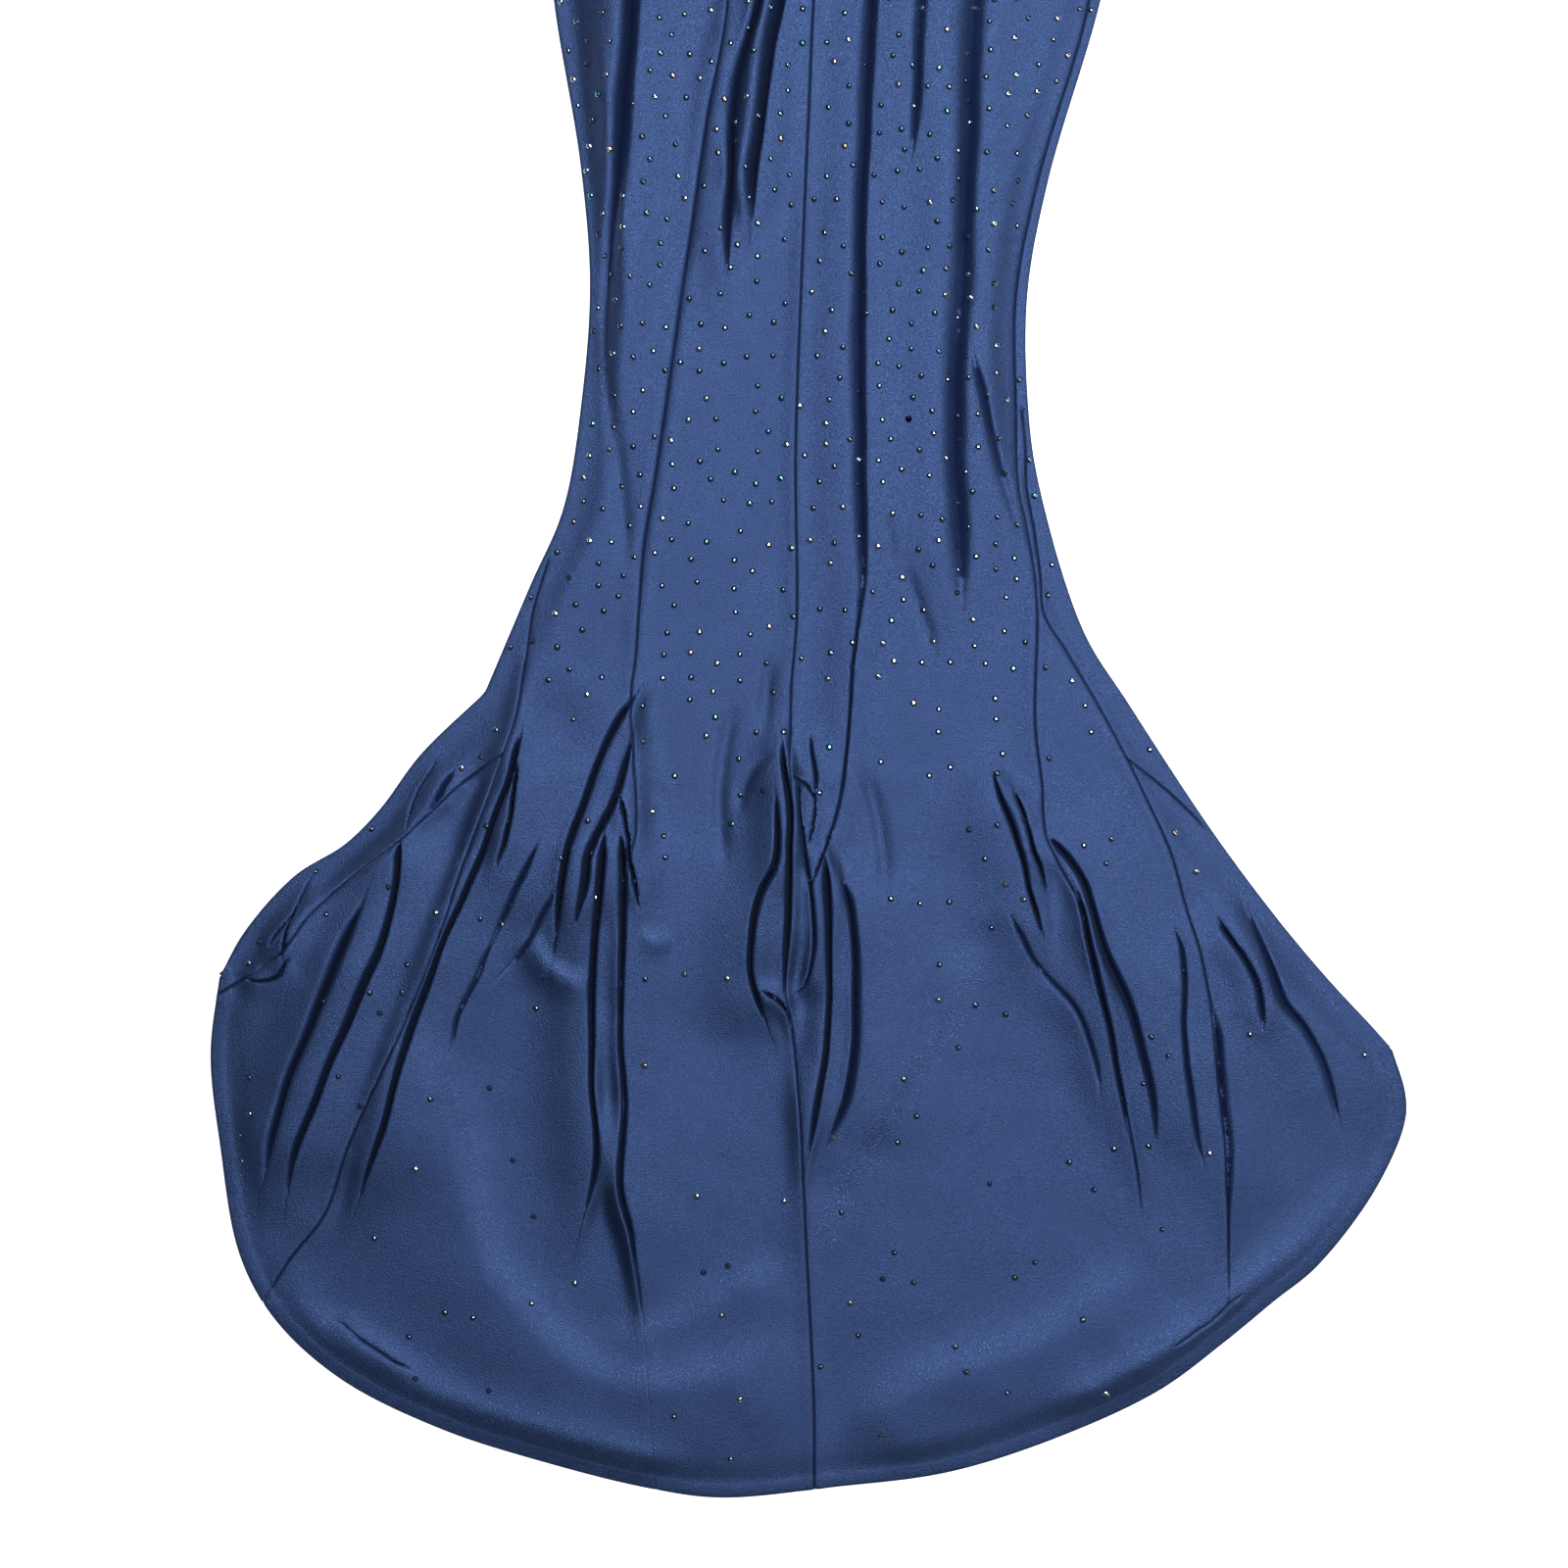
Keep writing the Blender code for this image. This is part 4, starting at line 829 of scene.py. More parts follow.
def outer_face(uppers, under):
    """A panel's outer face: its points, its faces, and how many points its upper part has."""
    outer = []
    faces = []
    edges = []
    for upper in uppers:
        flat, upper_faces, rolls = filled(*upper, UPPER_ROWS, UPPER_GRID)
        lain = drape(flat)
        start = len(outer)
        faces += [tuple(start + i for i in face) for face in upper_faces]
        outer += [*lain]
        edges += [([start + i for i in roll], lain[roll]) for roll in rolls]
    upper_count = len(outer)
    if under is None:
        return np.array(outer), faces, upper_count
    flat, under_faces, rolls = filled(*under, [], UNDER_GRID)
    start = len(outer)
    outer += [*np.column_stack([flat, np.zeros(len(flat))])]
    faces += [tuple(start + i for i in reversed(face)) for face in under_faces]
    for (row, lain), roll in zip(edges, rolls):
        for outer_row in rolled_rows(lain[:, :2], lain[:, 2]):
            following = list(range(len(outer), len(outer) + len(row)))
            outer += [*outer_row]
            faces += bridge(row, following)
            row = following
        faces += bridge(row, [start + i for i in roll])
    return np.array(outer), faces, upper_count


def normals_in_space(points, faces):
    """The way out of the face at each of its points."""
    corners = np.array([face[:3] for face in faces])
    a, b, c = (points[corners[:, i]] for i in range(3))
    ways = np.cross(b - a, c - a)
    normals = np.zeros_like(points)
    for i in range(3):
        np.add.at(normals, corners[:, i], ways)
    return normals / np.linalg.norm(normals, axis=1)[:, None]


def linked(name, data):
    """A new object in the scene."""
    piece = bpy.data.objects.new(name, data)
    bpy.context.scene.collection.objects.link(piece)
    return piece


def placed(points):
    """Points in the frame's metres."""
    return ((points - np.array(GOWN_CENTRE)) * METRE).tolist()


def panel_shell(name, outer, faces, material):
    """The closed shell of a panel: its outer face, an inner one, and the cut edge between them."""
    count = len(outer)
    inner = outer - SHELL * normals_in_space(outer, faces)
    sides = {(a, b) for face in faces for a, b in zip(face, face[1:] + face[:1])}
    rims = sorted((b, a, a + count, b + count) for a, b in sides if (b, a) not in sides)
    backs = [tuple(i + count for i in reversed(face)) for face in faces]
    mesh = bpy.data.meshes.new(name)
    mesh.from_pydata(placed(np.vstack([outer, inner])), [], faces + backs + rims)
    mesh.update()
    mesh.materials.append(material)
    crest = mesh.attributes.new("pressed", "FLOAT", "POINT")
    crest.data.foreach_set("value", np.tile(pressed(outer[:, :2]), 2))
    mesh.shade_smooth()
    mesh.set_sharp_from_angle(angle=SHARPEST_FOLD)
    return linked(name, mesh)


LEFT_CORNER = HEM[0]
RIGHT_CORNER = HEM[-1]
LEFT_APEX_FRONT = further(GODET_LEFT_FRONT, LEFT_APEX, APEX_CLEARANCE)
LEFT_APEX_BACK = further(SIDE_LEFT, LEFT_APEX, APEX_CLEARANCE)
RIGHT_APEX_FRONT = further(GODET_RIGHT_FRONT, RIGHT_APEX, APEX_CLEARANCE)
RIGHT_APEX_BACK = further(SIDE_RIGHT, RIGHT_APEX, APEX_CLEARANCE)
HEM_LEFT_START = further(HEM, LEFT_CORNER, HEM_CORNER_CUT)
HEM_RIGHT_END = further(HEM, RIGHT_CORNER, -HEM_CORNER_CUT)
LEFT_ROLL_END = further(LEFT_EDGE, LEFT_CORNER, -LEFT_CORNER_CUT)
RIGHT_ROLL_START = further(RIGHT_EDGE, RIGHT_CORNER, -RIGHT_CORNER_CUT)
UNDER_LEFT_START = further(FRONT_HEM, LEFT_CORNER, UNDER_CORNER_CUT)
UNDER_RIGHT_END = further(FRONT_HEM, RIGHT_CORNER, -UNDER_CORNER_CUT - RIGHT_CORNER_CUT)
GODET_RIGHT_FOOT = GODET_RIGHT_UNDER[-1]

# Where each seam crosses its rolled edge, the two panels' ends lie a seam's gap apart
FRONT_LEFT_CROSSING = further(LEFT_EDGE, LEFT_CROSSING, SEAM_GAP)
FRONT_RIGHT_CROSSING = further(RIGHT_EDGE, RIGHT_CROSSING, SEAM_GAP)
FRONT_LEFT_SEAM_START = further(SIDE_LEFT, SIDE_LEFT[0], SEAM_GAP)
FRONT_RIGHT_SEAM_START = further(SIDE_RIGHT, SIDE_RIGHT[0], SEAM_GAP)
FRONT_GODET_CROSSING = further(RIGHT_EDGE, GODET_CROSSING, -SEAM_GAP)
FRONT_GODET_SEAM_END = further(GODET_RIGHT_FRONT, GODET_RIGHT_FRONT[-1], -SEAM_GAP)
GODET_UNDER_START = further(GODET_RIGHT_UNDER, GODET_RIGHT_UNDER[0], SEAM_GAP)
SEAM_INSET = UNDER_SEAM_INSET + SEAM_GAP


def front():
    """The front lies flat underneath, and comes round each side edge as a narrowing strip."""
    left_roll = stretch(LEFT_ROLL, (FRONT_LEFT_CROSSING, LEFT_ROLL_END))
    right_roll = stretch(RIGHT_ROLL, (FRONT_GODET_CROSSING, FRONT_RIGHT_CROSSING))
    left = panel_outline(
        left_roll,
        (HEM, 0, HEM_LEFT_START, further(HEM, GODET_LEFT_FRONT[-1], -2 * SEAM_GAP)),
        (GODET_LEFT_FRONT, -HALF_GAP, GODET_LEFT_FRONT[-1], LEFT_APEX_FRONT, LEFT_APEX),
        (SIDE_LEFT, -HALF_GAP, LEFT_APEX, FRONT_LEFT_SEAM_START),
    )
    right = panel_outline(
        (SIDE_RIGHT, HALF_GAP, FRONT_RIGHT_SEAM_START, RIGHT_APEX),
        (GODET_RIGHT_FRONT, HALF_GAP, RIGHT_APEX, RIGHT_APEX_FRONT, FRONT_GODET_SEAM_END),
        right_roll,
    )
    under = panel_outline(
        (LEFT_EDGE, SEAM_INSET, LEFT_EDGE[0], FRONT_LEFT_CROSSING),
        left_roll,
        (FRONT_HEM, 0, UNDER_LEFT_START, GODET_RIGHT_FOOT - (SEAM_GAP, 0)),
        (GODET_RIGHT_UNDER, -HALF_GAP, GODET_RIGHT_FOOT, GODET_RIGHT_UNDER[0]),
        right_roll,
        (RIGHT_EDGE, -SEAM_INSET, FRONT_RIGHT_CROSSING, RIGHT_EDGE[0]),
        (ARMHOLE_RIGHT, 0, ARMHOLE_RIGHT[-1] - (SEAM_INSET, 0), ARMHOLE_RIGHT[0]),
        (FRONT_NECK, 0, FRONT_NECK[-1], FRONT_NECK[0]),
        (ARMHOLE_LEFT, 0, ARMHOLE_LEFT[0], ARMHOLE_LEFT[-1] + (SEAM_INSET, 0)),
    )
    return (left, right), under


def back_left_centre():
    """The left centre back lies between the left princess seam and the centre seam."""
    upper = panel_outline(
        (PRINCESS_LEFT, HALF_GAP, PRINCESS_LEFT[0], PRINCESS_LEFT[-1]),
        (HEM, 0, PRINCESS_LEFT[-1] + (HALF_GAP, 0), CENTRE_BACK[-1] - (HALF_GAP, 0)),
        (CENTRE_BACK, -HALF_GAP, CENTRE_BACK[-1], CENTRE_BACK[0]),
        (BACK_NECK, 0, CENTRE_BACK[0] - (HALF_GAP, 0), BACK_NECK[0]),
        (ARMHOLE_LEFT, 0, ARMHOLE_LEFT[0], PRINCESS_LEFT[0] + (HALF_GAP, 0)),
    )
    return (upper,), None


def back_right_centre():
    """The right centre back lies between the centre seam and the right princess seam."""
    upper = panel_outline(
        (CENTRE_BACK, HALF_GAP, CENTRE_BACK[0], CENTRE_BACK[-1]),
        (HEM, 0, CENTRE_BACK[-1] + (HALF_GAP, 0), PRINCESS_RIGHT[-1] - (HALF_GAP, 0)),
        (PRINCESS_RIGHT, -HALF_GAP, PRINCESS_RIGHT[-1], PRINCESS_RIGHT[0]),
        (ARMHOLE_RIGHT, 0, PRINCESS_RIGHT[0] - (HALF_GAP, 0), ARMHOLE_RIGHT[0]),
        (BACK_NECK, 0, BACK_NECK[-1], CENTRE_BACK[0] + (HALF_GAP, 0)),
    )
    return (upper,), None


def back_left_side():
    """The side back rolls round the left edge down to where the side seam crosses it."""
    roll = stretch(LEFT_ROLL, (LEFT_EDGE[0], LEFT_CROSSING))
    upper = panel_outline(
        (ARMHOLE_LEFT, 0, PRINCESS_LEFT[0] - (HALF_GAP, 0), roll[0] + (ARMHOLE_CORNER_CUT, 0)),
        roll,
        (SIDE_LEFT, HALF_GAP, SIDE_LEFT[0], LEFT_APEX, LEFT_APEX_BACK, SIDE_LEFT[-1]),
        (HEM, 0, SIDE_LEFT[-1] + (HALF_GAP, 0), PRINCESS_LEFT[-1] - (HALF_GAP, 0)),
        (PRINCESS_LEFT, -HALF_GAP, PRINCESS_LEFT[-1], PRINCESS_LEFT[0]),
    )
    under = panel_outline(
        roll,
        (LEFT_EDGE, UNDER_SEAM_INSET, LEFT_CROSSING, LEFT_EDGE[0]),
    )
    return (upper,), under


def back_right_side():
    """The side back rolls round the right edge down to where the side seam crosses it."""
    roll = stretch(RIGHT_ROLL, (RIGHT_CROSSING, RIGHT_EDGE[0]))
    upper = panel_outline(
        (PRINCESS_RIGHT, HALF_GAP, PRINCESS_RIGHT[0], PRINCESS_RIGHT[-1]),
        (HEM, 0, PRINCESS_RIGHT[-1] + (HALF_GAP, 0), SIDE_RIGHT[-1] - (HALF_GAP, 0)),
        (SIDE_RIGHT, -HALF_GAP, SIDE_RIGHT[-1], RIGHT_APEX_BACK, RIGHT_APEX, SIDE_RIGHT[0]),
        roll,
        (ARMHOLE_RIGHT, 0, roll[-1] - (ARMHOLE_CORNER_CUT, 0), PRINCESS_RIGHT[0] + (HALF_GAP, 0)),
    )
    under = panel_outline(
        roll,
        (RIGHT_EDGE, -UNDER_SEAM_INSET, RIGHT_EDGE[0], RIGHT_CROSSING),
    )
    return (upper,), under


def godet_left():
    """The left godet is let in between the front and the left side back."""
    upper = panel_outline(
        (GODET_LEFT_FRONT, HALF_GAP, LEFT_APEX_FRONT, GODET_LEFT_FRONT[-1]),
        (HEM, 0, further(HEM, GODET_LEFT_FRONT[-1], SEAM_GAP), SIDE_LEFT[-1] - (HALF_GAP, 0)),
        (SIDE_LEFT, -HALF_GAP, SIDE_LEFT[-1], LEFT_APEX_BACK),
    )
    return (upper,), None


def godet_right():
    """The right godet rolls round the edge below the front's strip, to the hem corner."""
    roll = stretch(RIGHT_ROLL, (RIGHT_ROLL_START, GODET_CROSSING))
    upper = panel_outline(
        (SIDE_RIGHT, HALF_GAP, RIGHT_APEX_BACK, SIDE_RIGHT[-1]),
        (HEM, 0, SIDE_RIGHT[-1] + (HALF_GAP, 0), HEM_RIGHT_END),
        roll,
        (GODET_RIGHT_FRONT, -HALF_GAP, GODET_RIGHT_FRONT[-1], RIGHT_APEX_FRONT),
    )
    under = panel_outline(
        roll,
        (GODET_RIGHT_UNDER, HALF_GAP, GODET_UNDER_START, GODET_RIGHT_FOOT),
        (FRONT_HEM, 0, GODET_RIGHT_FOOT + (SEAM_GAP, 0), UNDER_RIGHT_END),
    )
    return (upper,), under


# Each panel: how to lay it, the size it was cut to in metres, and its flat area in square metres
PANELS = {
    "front": (front, (1.03, 1.62), 0.67),
    "back_left_centre": (back_left_centre, (0.19, 2.02), 0.245),
    "back_right_centre": (back_right_centre, (0.33, 2.02), 0.415),
    "back_left_side": (back_left_side, (0.42, 1.89), 0.31),
    "back_right_side": (back_right_side, (0.12, 1.80), 0.113),
    "godet_left": (godet_left, (0.27, 0.48), 0.058),
    "godet_right": (godet_right, (0.26, 0.50), 0.057),
}


def fill(made, values):
    """Sets the values of a node's inputs."""
    for name, value in values.items():
        made.inputs[name].default_value = value


def node(tree, kind, at, values=None, **settings):
    """A node at a place in a tree, with its properties and its inputs' values set."""
    made = tree.nodes.new(kind)
    made.location = at
    for name, value in settings.items():
        setattr(made, name, value)
    fill(made, values or {})
    return made


def join(tree, *links):
    """Links nodes: each link is a node, its output, the next node and its input."""
    for source, output, target, socket in links:
        tree.links.new(source.outputs[output], target.inputs[socket])


def shaded(name, values):
    """A material, its node tree and its shader, with the shader's values set."""
    material = bpy.data.materials.new(name)
    material.use_nodes = True
    shader = material.node_tree.nodes["Principled BSDF"]
    fill(shader, values)
    return material, material.node_tree, shader


def colour_ramp(tree, at, *stops, blend="LINEAR"):
    """A ramp through colours, each at its position."""
    made = node(tree, "ShaderNodeValToRGB", at)
    made.color_ramp.interpolation = blend
    elements = made.color_ramp.elements
    for number, (position, colour) in enumerate(stops):
        element = elements[number] if number < 2 else elements.new(position)
        element.position = position
        element.color = (*colour, 1)
    return made


# Colours by their position on a ramp
DYES = (0.3, (0.0026, 0.0054, 0.0170)), (0.7, (0.0032, 0.0064, 0.0205))
FLECKS = (0.36, (0.25, 0.25, 0.28)), (0.64, (2.5, 2.4, 2.1))
THREADS = (0, (0.010, 0.018, 0.060)), (1, (0.026, 0.042, 0.120))
NAVY_SHARE = 0.76
GLASSES = (
    (0, (0.004, 0.010, 0.034)), (NAVY_SHARE, (0.50, 0.58, 0.66)), (0.92, (0.12, 0.40, 0.40)),
    (0.985, (0.55, 0.50, 0.42)),
)
# How the grain's noise turns into roughness, and how much smoother the cloth is on a ridge
POLISH = {"From Min": 0.34, "From Max": 0.66, "To Min": 0.62, "To Max": 0.31}
PRESSED_POLISH = -0.1


def jersey_material(name):
    """Navy stretch jersey: a fine crepe grain, slightly uneven dye, and a soft satin face."""
    material, tree, shader = shaded(name, {
        "IOR": 2.3,
        "Specular Tint": (0.215, 0.388, 1.0, 1),
        "Sheen Weight": 0.02,
        "Sheen Roughness": 0.4,
        "Sheen Tint": (0.55, 0.66, 1.0, 1),
    })
    place = node(tree, "ShaderNodeTexCoord", (-1300, 0))
    grain = node(
        tree, "ShaderNodeTexNoise", (-1000, -250), {"Scale": 720, "Detail": 2, "Roughness": 0.8}
    )
    cloud = node(tree, "ShaderNodeTexNoise", (-1000, 250), {"Scale": 9, "Detail": 4})
    dye = colour_ramp(tree, (-700, 250), *DYES)
    fleck = colour_ramp(tree, (-700, -50), *FLECKS)
    mixed = node(
        tree, "ShaderNodeMix", (-400, 150), {0: 1.0}, data_type="RGBA", blend_type="MULTIPLY"
    )
    polish = node(tree, "ShaderNodeMapRange", (-400, -100), POLISH)
    crest = node(tree, "ShaderNodeAttribute", (-700, -250), attribute_name="pressed")
    drawn = node(
        tree, "ShaderNodeMath", (-200, -100), {1: PRESSED_POLISH}, operation="MULTIPLY_ADD"
    )
    bump = node(tree, "ShaderNodeBump", (-400, -400), {"Strength": 1.0, "Distance": 0.0007})
    join(
        tree,
        (place, "Object", grain, "Vector"),
        (place, "Object", cloud, "Vector"),
        (cloud, "Fac", dye, "Fac"),
        (grain, "Fac", fleck, "Fac"),
        (dye, "Color", mixed, 6),
        (fleck, "Color", mixed, 7),
        (mixed, 2, shader, "Base Color"),
        (grain, "Fac", polish, "Value"),
        (crest, "Fac", drawn, 0),
        (polish, "Result", drawn, 2),
        (drawn, "Value", shader, "Roughness"),
        (grain, "Fac", bump, "Height"),
        (bump, "Normal", shader, "Normal"),
    )
    return material


def stone_material():
    """Foiled glass in navy, clear, sea green and a little gold."""
    material, tree, shader = shaded("rhinestone_glass", {
        "Roughness": 0.11, "IOR": 2.5, "Specular Tint": (0.72, 0.86, 1.0, 1),
    })
    tint = node(tree, "ShaderNodeAttribute", (-700, 0), attribute_name="stone_tint")
    colours = colour_ramp(tree, (-450, 0), *GLASSES, blend="CONSTANT")
    foil = node(tree, "ShaderNodeMath", (-450, -250), {1: NAVY_SHARE}, operation="GREATER_THAN")
    join(
        tree,
        (tint, "Fac", colours, "Fac"),
        (tint, "Fac", foil, 0),
        (colours, "Color", shader, "Base Color"),
        (foil, "Value", shader, "Metallic"),
    )
    return material


def thread_material():
    """Twisted navy thread."""
    material, tree, shader = shaded("hem_thread", {"Roughness": 0.45})
    place = node(tree, "ShaderNodeTexCoord", (-900, 0))
    twist = node(tree, "ShaderNodeTexNoise", (-650, 0), {"Scale": 1500})
    shade = colour_ramp(tree, (-400, 0), *THREADS)
    join(
        tree,
        (place, "Object", twist, "Vector"),
        (twist, "Fac", shade, "Fac"),
        (shade, "Color", shader, "Base Color"),
    )
    return material


STONE_WIDTH = 6.0
STONE_HEIGHT = 2.2
STONE_SIDES = 8
STONE_RINGS = ((1.0, 0.0), (0.97, 0.22), (0.80, 0.62), (0.50, 0.88), (0.22, 0.97))


def stone_mesh():
    """One domed rhinestone: rings of facets under a small flat table."""
    points = []
    for ring, (share, rise) in enumerate(STONE_RINGS):
        radius = share * STONE_WIDTH / 2 * METRE
        height = rise * STONE_HEIGHT * METRE
        for side in range(STONE_SIDES):
            turn = (side + ring % 2 * 0.5) / STONE_SIDES * math.tau
            points.append((radius * math.cos(turn), radius * math.sin(turn), height))
    faces = [tuple(range(STONE_SIDES))[::-1]]
    for ring in range(len(STONE_RINGS) - 1):
        for side in range(STONE_SIDES):
            a = ring * STONE_SIDES + side
            b = ring * STONE_SIDES + (side + 1) % STONE_SIDES
            c, d = a + STONE_SIDES, b + STONE_SIDES
            faces += [(a, b, d), (a, d, c)] if ring % 2 else [(a, b, c), (b, d, c)]
    faces.append(tuple(range(len(points) - STONE_SIDES, len(points))))
    mesh = bpy.data.meshes.new("rhinestone")
    mesh.from_pydata(points, [], faces)
    mesh.update()
    return mesh


def tree_with_inputs(name, numbers, whole_numbers=()):
    """A geometry tree with named number inputs, and its input and output nodes."""
    tree = bpy.data.node_groups.new(name, "GeometryNodeTree")
    for way in ("INPUT", "OUTPUT"):
        tree.interface.new_socket("Geometry", in_out=way, socket_type="NodeSocketGeometry")
    for kind, labels in (("NodeSocketFloat", numbers), ("NodeSocketInt", whole_numbers)):
        for label in labels:
            tree.interface.new_socket(label, in_out="INPUT", socket_type=kind)
    start = node(tree, "NodeGroupInput", (-900, 0))
    end = node(tree, "NodeGroupOutput", (1200, 0))
    return tree, start, end


def finished(tree, made, output, end, material):
    """Ends a tree: what a node made becomes real geometry in a material."""
    real = node(tree, "GeometryNodeRealizeInstances", (600, 0))
    paint = node(tree, "GeometryNodeSetMaterial", (900, 0), {"Material": material})
    join(
        tree,
        (made, output, real, "Geometry"),
        (real, "Geometry", paint, "Geometry"),
        (paint, "Geometry", end, "Geometry"),
    )
    return tree


def stone_tree(stone, material):
    """Sets rhinestones on a panel: scattered clear of each other, thinned by `stone_density`."""
    tree, start, end = tree_with_inputs(
        "set_rhinestones", ("Closest spacing", "Most per square metre", "Size variation"), ("Seed",)
    )
    scatter = node(
        tree, "GeometryNodeDistributePointsOnFaces", (-500, 0), distribute_method="POISSON"
    )
    density = node(
        tree, "GeometryNodeInputNamedAttribute", (-900, -300), {"Name": "stone_density"},
        data_type="FLOAT",
    )
    source = node(
        tree, "GeometryNodeObjectInfo", (-500, -350), {"Object": stone, "As Instance": True}
    )
    smallest = node(tree, "ShaderNodeMath", (-500, -550), {0: 1.0}, operation="SUBTRACT")
    size = node(tree, "FunctionNodeRandomValue", (-250, -450), {3: 1.0}, data_type="FLOAT")
    setting = node(tree, "GeometryNodeInstanceOnPoints", (0, 0))
    tint = node(tree, "FunctionNodeRandomValue", (0, -350), data_type="FLOAT")
    turn = node(
        tree, "FunctionNodeRandomValue", (-250, -700), {0: (0, 0, 0), 1: (0, 0, math.tau)},
        data_type="FLOAT_VECTOR",
    )
    way = node(tree, "FunctionNodeEulerToRotation", (0, -700))
    spin = node(tree, "GeometryNodeRotateInstances", (150, 0))
    keep = node(
        tree, "GeometryNodeStoreNamedAttribute", (300, 0), {"Name": "stone_tint"},
        data_type="FLOAT", domain="INSTANCE",
    )
    join(
        tree,
        (start, "Geometry", scatter, "Mesh"),
        (start, "Closest spacing", scatter, "Distance Min"),
        (start, "Most per square metre", scatter, "Density Max"),
        (density, "Attribute", scatter, "Density Factor"),
        (start, "Size variation", smallest, 1),
        (smallest, "Value", size, 2),
        *[(start, "Seed", drawn, "Seed") for drawn in (scatter, size, tint, turn)],
        (scatter, "Points", setting, "Points"),
        (scatter, "Rotation", setting, "Rotation"),
        (source, "Geometry", setting, "Instance"),
        (size, 1, setting, "Scale"),
        (turn, 0, way, "Euler"),
        (setting, "Instances", spin, "Instances"),
        (way, "Rotation", spin, "Rotation"),
        (spin, "Instances", keep, "Geometry"),
        (tint, 1, keep, "Value"),
    )
    return finished(tree, keep, "Geometry", end, material)


def grown(name, base, tree, **values):
    """The plain mesh that a geometry tree makes on a base mesh, with the tree's inputs set."""
    piece = linked(name, base)
    growth = piece.modifiers.new("growth", "NODES")
    growth.node_group = tree
    for item in tree.interface.items_tree:
        label = item.name.replace(" ", "_")
        if item.in_out == "INPUT" and label in values:
            growth[item.identifier] = values[label]
    bpy.context.view_layer.update()
    evaluated = piece.evaluated_get(bpy.context.evaluated_depsgraph_get())
    made = bpy.data.meshes.new_from_object(evaluated)
    piece.modifiers.remove(growth)
    piece.data = made
    return piece


STONE_SPACING = 0.0175
STONES_PER_SQUARE_METRE = 12000.0
STONE_SEED = 11
STONE_SIZE_VARIATION = 0.18
STONE_FROM_SEAM = 3.2
STONE_FROM_HEM = 15.0
# The least upward part of a face's normal that a stone sits on, low in a fold
STEEPEST_SEAT = 0.5

# How many of the closest-set stones are kept, from the hem up
STONE_DENSITY_HEIGHTS = (0, 250, 420, 600, 700, 800, 900)
STONE_DENSITY_SHARES = (0.10, 0.12, 0.15, 0.24, 0.50, 0.90, 1.0)


def rhinestones(name, outer, faces, upper_count, tree, number):
    """The stones on the upper face of a panel, none on its seams, its hem or its rolled edge."""
    upper = [face for face in faces if max(face) < upper_count]
    points = outer[:upper_count]
    share = np.interp(points[:, 1], STONE_DENSITY_HEIGHTS, STONE_DENSITY_SHARES)
    flat = points[:, :2]
    share[away_from(flat, HEM, STONE_FROM_HEM) < STONE_FROM_HEM] = 0
    for line, foot in SEAMS:
        share[away_from(flat, line, STONE_FROM_SEAM) < STONE_FROM_SEAM] = 0
    mesh = bpy.data.meshes.new(name)
    mesh.from_pydata(placed(points), [], upper)
    mesh.update()
    # None at the foot of a steep fold, where it would go through the layers below
    for face in mesh.polygons:
        if face.normal.z < STEEPEST_SEAT and face.center.z < STONE_WIDTH * METRE:
            share[list(face.vertices)] = 0
    mesh.attributes.new("stone_density", "FLOAT", "POINT").data.foreach_set("value", share)
    return grown(
        name, mesh, tree,
        Closest_spacing=STONE_SPACING,
        Most_per_square_metre=STONES_PER_SQUARE_METRE,
        Size_variation=STONE_SIZE_VARIATION,
        Seed=STONE_SEED + number,
    )


STITCH_LENGTH = 2.4
STITCH_SPACING = 3.4
STITCH_WIDTH = 0.5
# How many of the hem's points have no stitch, at each of its ends
STITCHLESS = 8


def stitch_tree(material):
    """Lays stitches end to end along a line."""
    tree, start, end = tree_with_inputs(
        "lay_stitches", ("Stitch length", "Stitch width", "Stitch spacing")
    )
    line = node(tree, "GeometryNodeMeshToCurve", (-650, 0))
    steps = node(tree, "GeometryNodeCurveToPoints", (-400, 0), mode="LENGTH")
    thread = node(tree, "GeometryNodeMeshCylinder", (-400, -300), {"Vertices": 6})
    half = node(tree, "ShaderNodeMath", (-650, -400), {1: 0.5}, operation="MULTIPLY")
    setting = node(tree, "GeometryNodeInstanceOnPoints", (0, 0))
    join(
        tree,
        (start, "Geometry", line, "Mesh"),
        (line, "Curve", steps, "Curve"),
        (start, "Stitch spacing", steps, "Length"),
        (start, "Stitch width", half, 0),
        (half, "Value", thread, "Radius"),
        (start, "Stitch length", thread, "Depth"),
        (steps, "Points", setting, "Points"),
        (steps, "Rotation", setting, "Rotation"),
        (thread, "Mesh", setting, "Instance"),
    )
    return finished(tree, setting, "Instances", end, material)


def hem_stitches(tree):
    """The row of stitches that holds the turned hem."""
    points = drape(shifted(HEM, STITCH_LINE)[STITCHLESS:-STITCHLESS])
    mesh = bpy.data.meshes.new("hem_stitches")
    mesh.from_pydata(placed(points), [(i, i + 1) for i in range(len(points) - 1)], [])
    return grown(
        "hem_stitches", mesh, tree,
        Stitch_length=STITCH_LENGTH * METRE,
        Stitch_width=STITCH_WIDTH * METRE,
        Stitch_spacing=STITCH_SPACING * METRE,
    )


CAMERA_PLACE = (-0.0206, -0.3985, 3.2)
VIEW_WIDTH = 1.344
SENSOR = 36.0
PAPER = {
    "Base Color": (0.9, 0.9, 0.9, 1), "Roughness": 0.9,
    "Emission Color": (1, 1, 1, 1), "Emission Strength": 0.75,
}
SKY = {"Color": (0.95, 0.97, 1, 1), "Strength": 0.07}
FLOOR_HALF = 4.0
FLOOR_Z = -0.0005
LIGHT_COLOUR = (1, 0.99, 0.96)
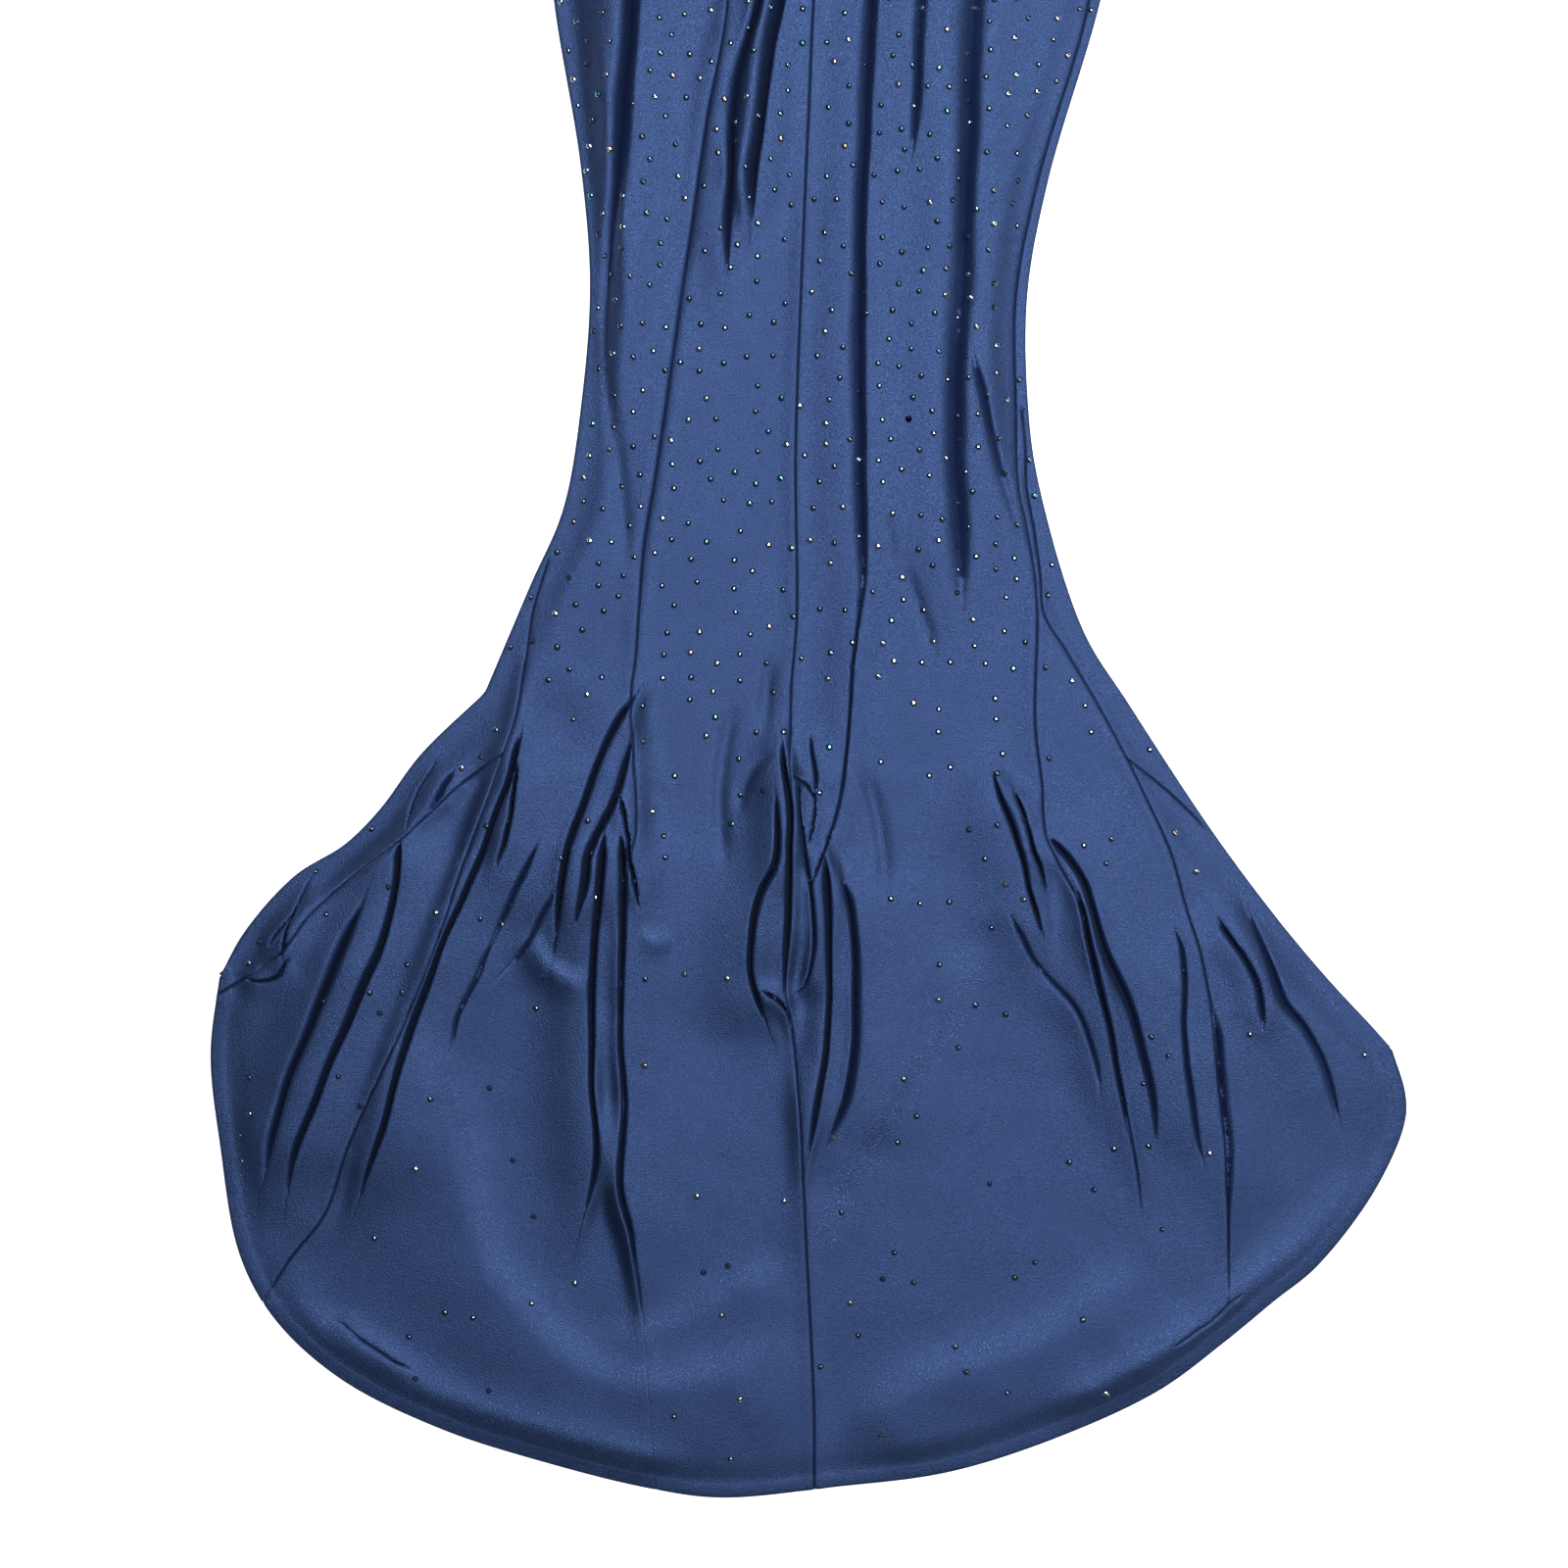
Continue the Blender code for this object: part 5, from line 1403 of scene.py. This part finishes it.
# Each light: its place, where it points, its width and its power
LIGHTS = (
    ("high_light", (0.45, -0.1, 4.4), (0, -0.4, 0), 0.9, 101),
    ("north_light", (0.3, 1.0, 2.0), (0, -0.1, 0), 0.9, 31),
    ("right_light", (1.5, -0.3, 1.9), (0.2, -0.3, 0), 0.8, 13),
)


def studio():
    """The pale floor, the soft lights and the camera straight above the train."""
    scene = bpy.context.scene
    scene.view_settings.view_transform = "Standard"
    corners = [
        (x * FLOOR_HALF, y * FLOOR_HALF, FLOOR_Z) for x, y in ((-1, -1), (1, -1), (1, 1), (-1, 1))
    ]
    floor = bpy.data.meshes.new("floor")
    floor.from_pydata(corners, [], [range(4)])
    floor.materials.append(shaded("white_paper", PAPER)[0])
    linked("floor", floor)
    scene.world = bpy.data.worlds.new("studio")
    scene.world.use_nodes = True
    fill(scene.world.node_tree.nodes["Background"], SKY)
    for light in LIGHTS:
        soft_light(*light)
    camera = bpy.data.cameras.new("camera")
    camera.sensor_width = SENSOR
    camera.lens = SENSOR * CAMERA_PLACE[2] / VIEW_WIDTH
    scene.camera = linked("camera", camera)
    scene.camera.location = CAMERA_PLACE


def soft_light(name, place, target, width, power):
    """A square light at a place, turned towards its target."""
    light = bpy.data.lights.new(name, "AREA")
    light.size = width
    light.energy = power
    light.color = LIGHT_COLOUR
    lamp = linked(name, light)
    x, y, z = np.array(target) - np.array(place)
    lamp.location = place
    lamp.rotation_euler = (math.atan2(math.hypot(x, y), -z), 0, math.atan2(-x, y))


def main():
    """Lays the cloth, its stones and its stitches on the solids, in the studio."""
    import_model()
    stone = linked("rhinestone_pattern", stone_mesh())
    stones = stone_tree(stone, stone_material())
    for number, (name, (lay, cut, area)) in enumerate(PANELS.items()):
        outer, faces, upper_count = outer_face(*lay())
        cloth = panel_shell(name + "_cloth", outer, faces, jersey_material(name + "_knit"))
        trim = rhinestones("rhinestones_" + name, outer, faces, upper_count, stones, number)
        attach(cloth, "root")
        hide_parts(name)
        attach(trim, "root")
    bpy.data.objects.remove(stone)
    stitches = hem_stitches(stitch_tree(thread_material()))
    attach(stitches, "root")
    studio()


main()
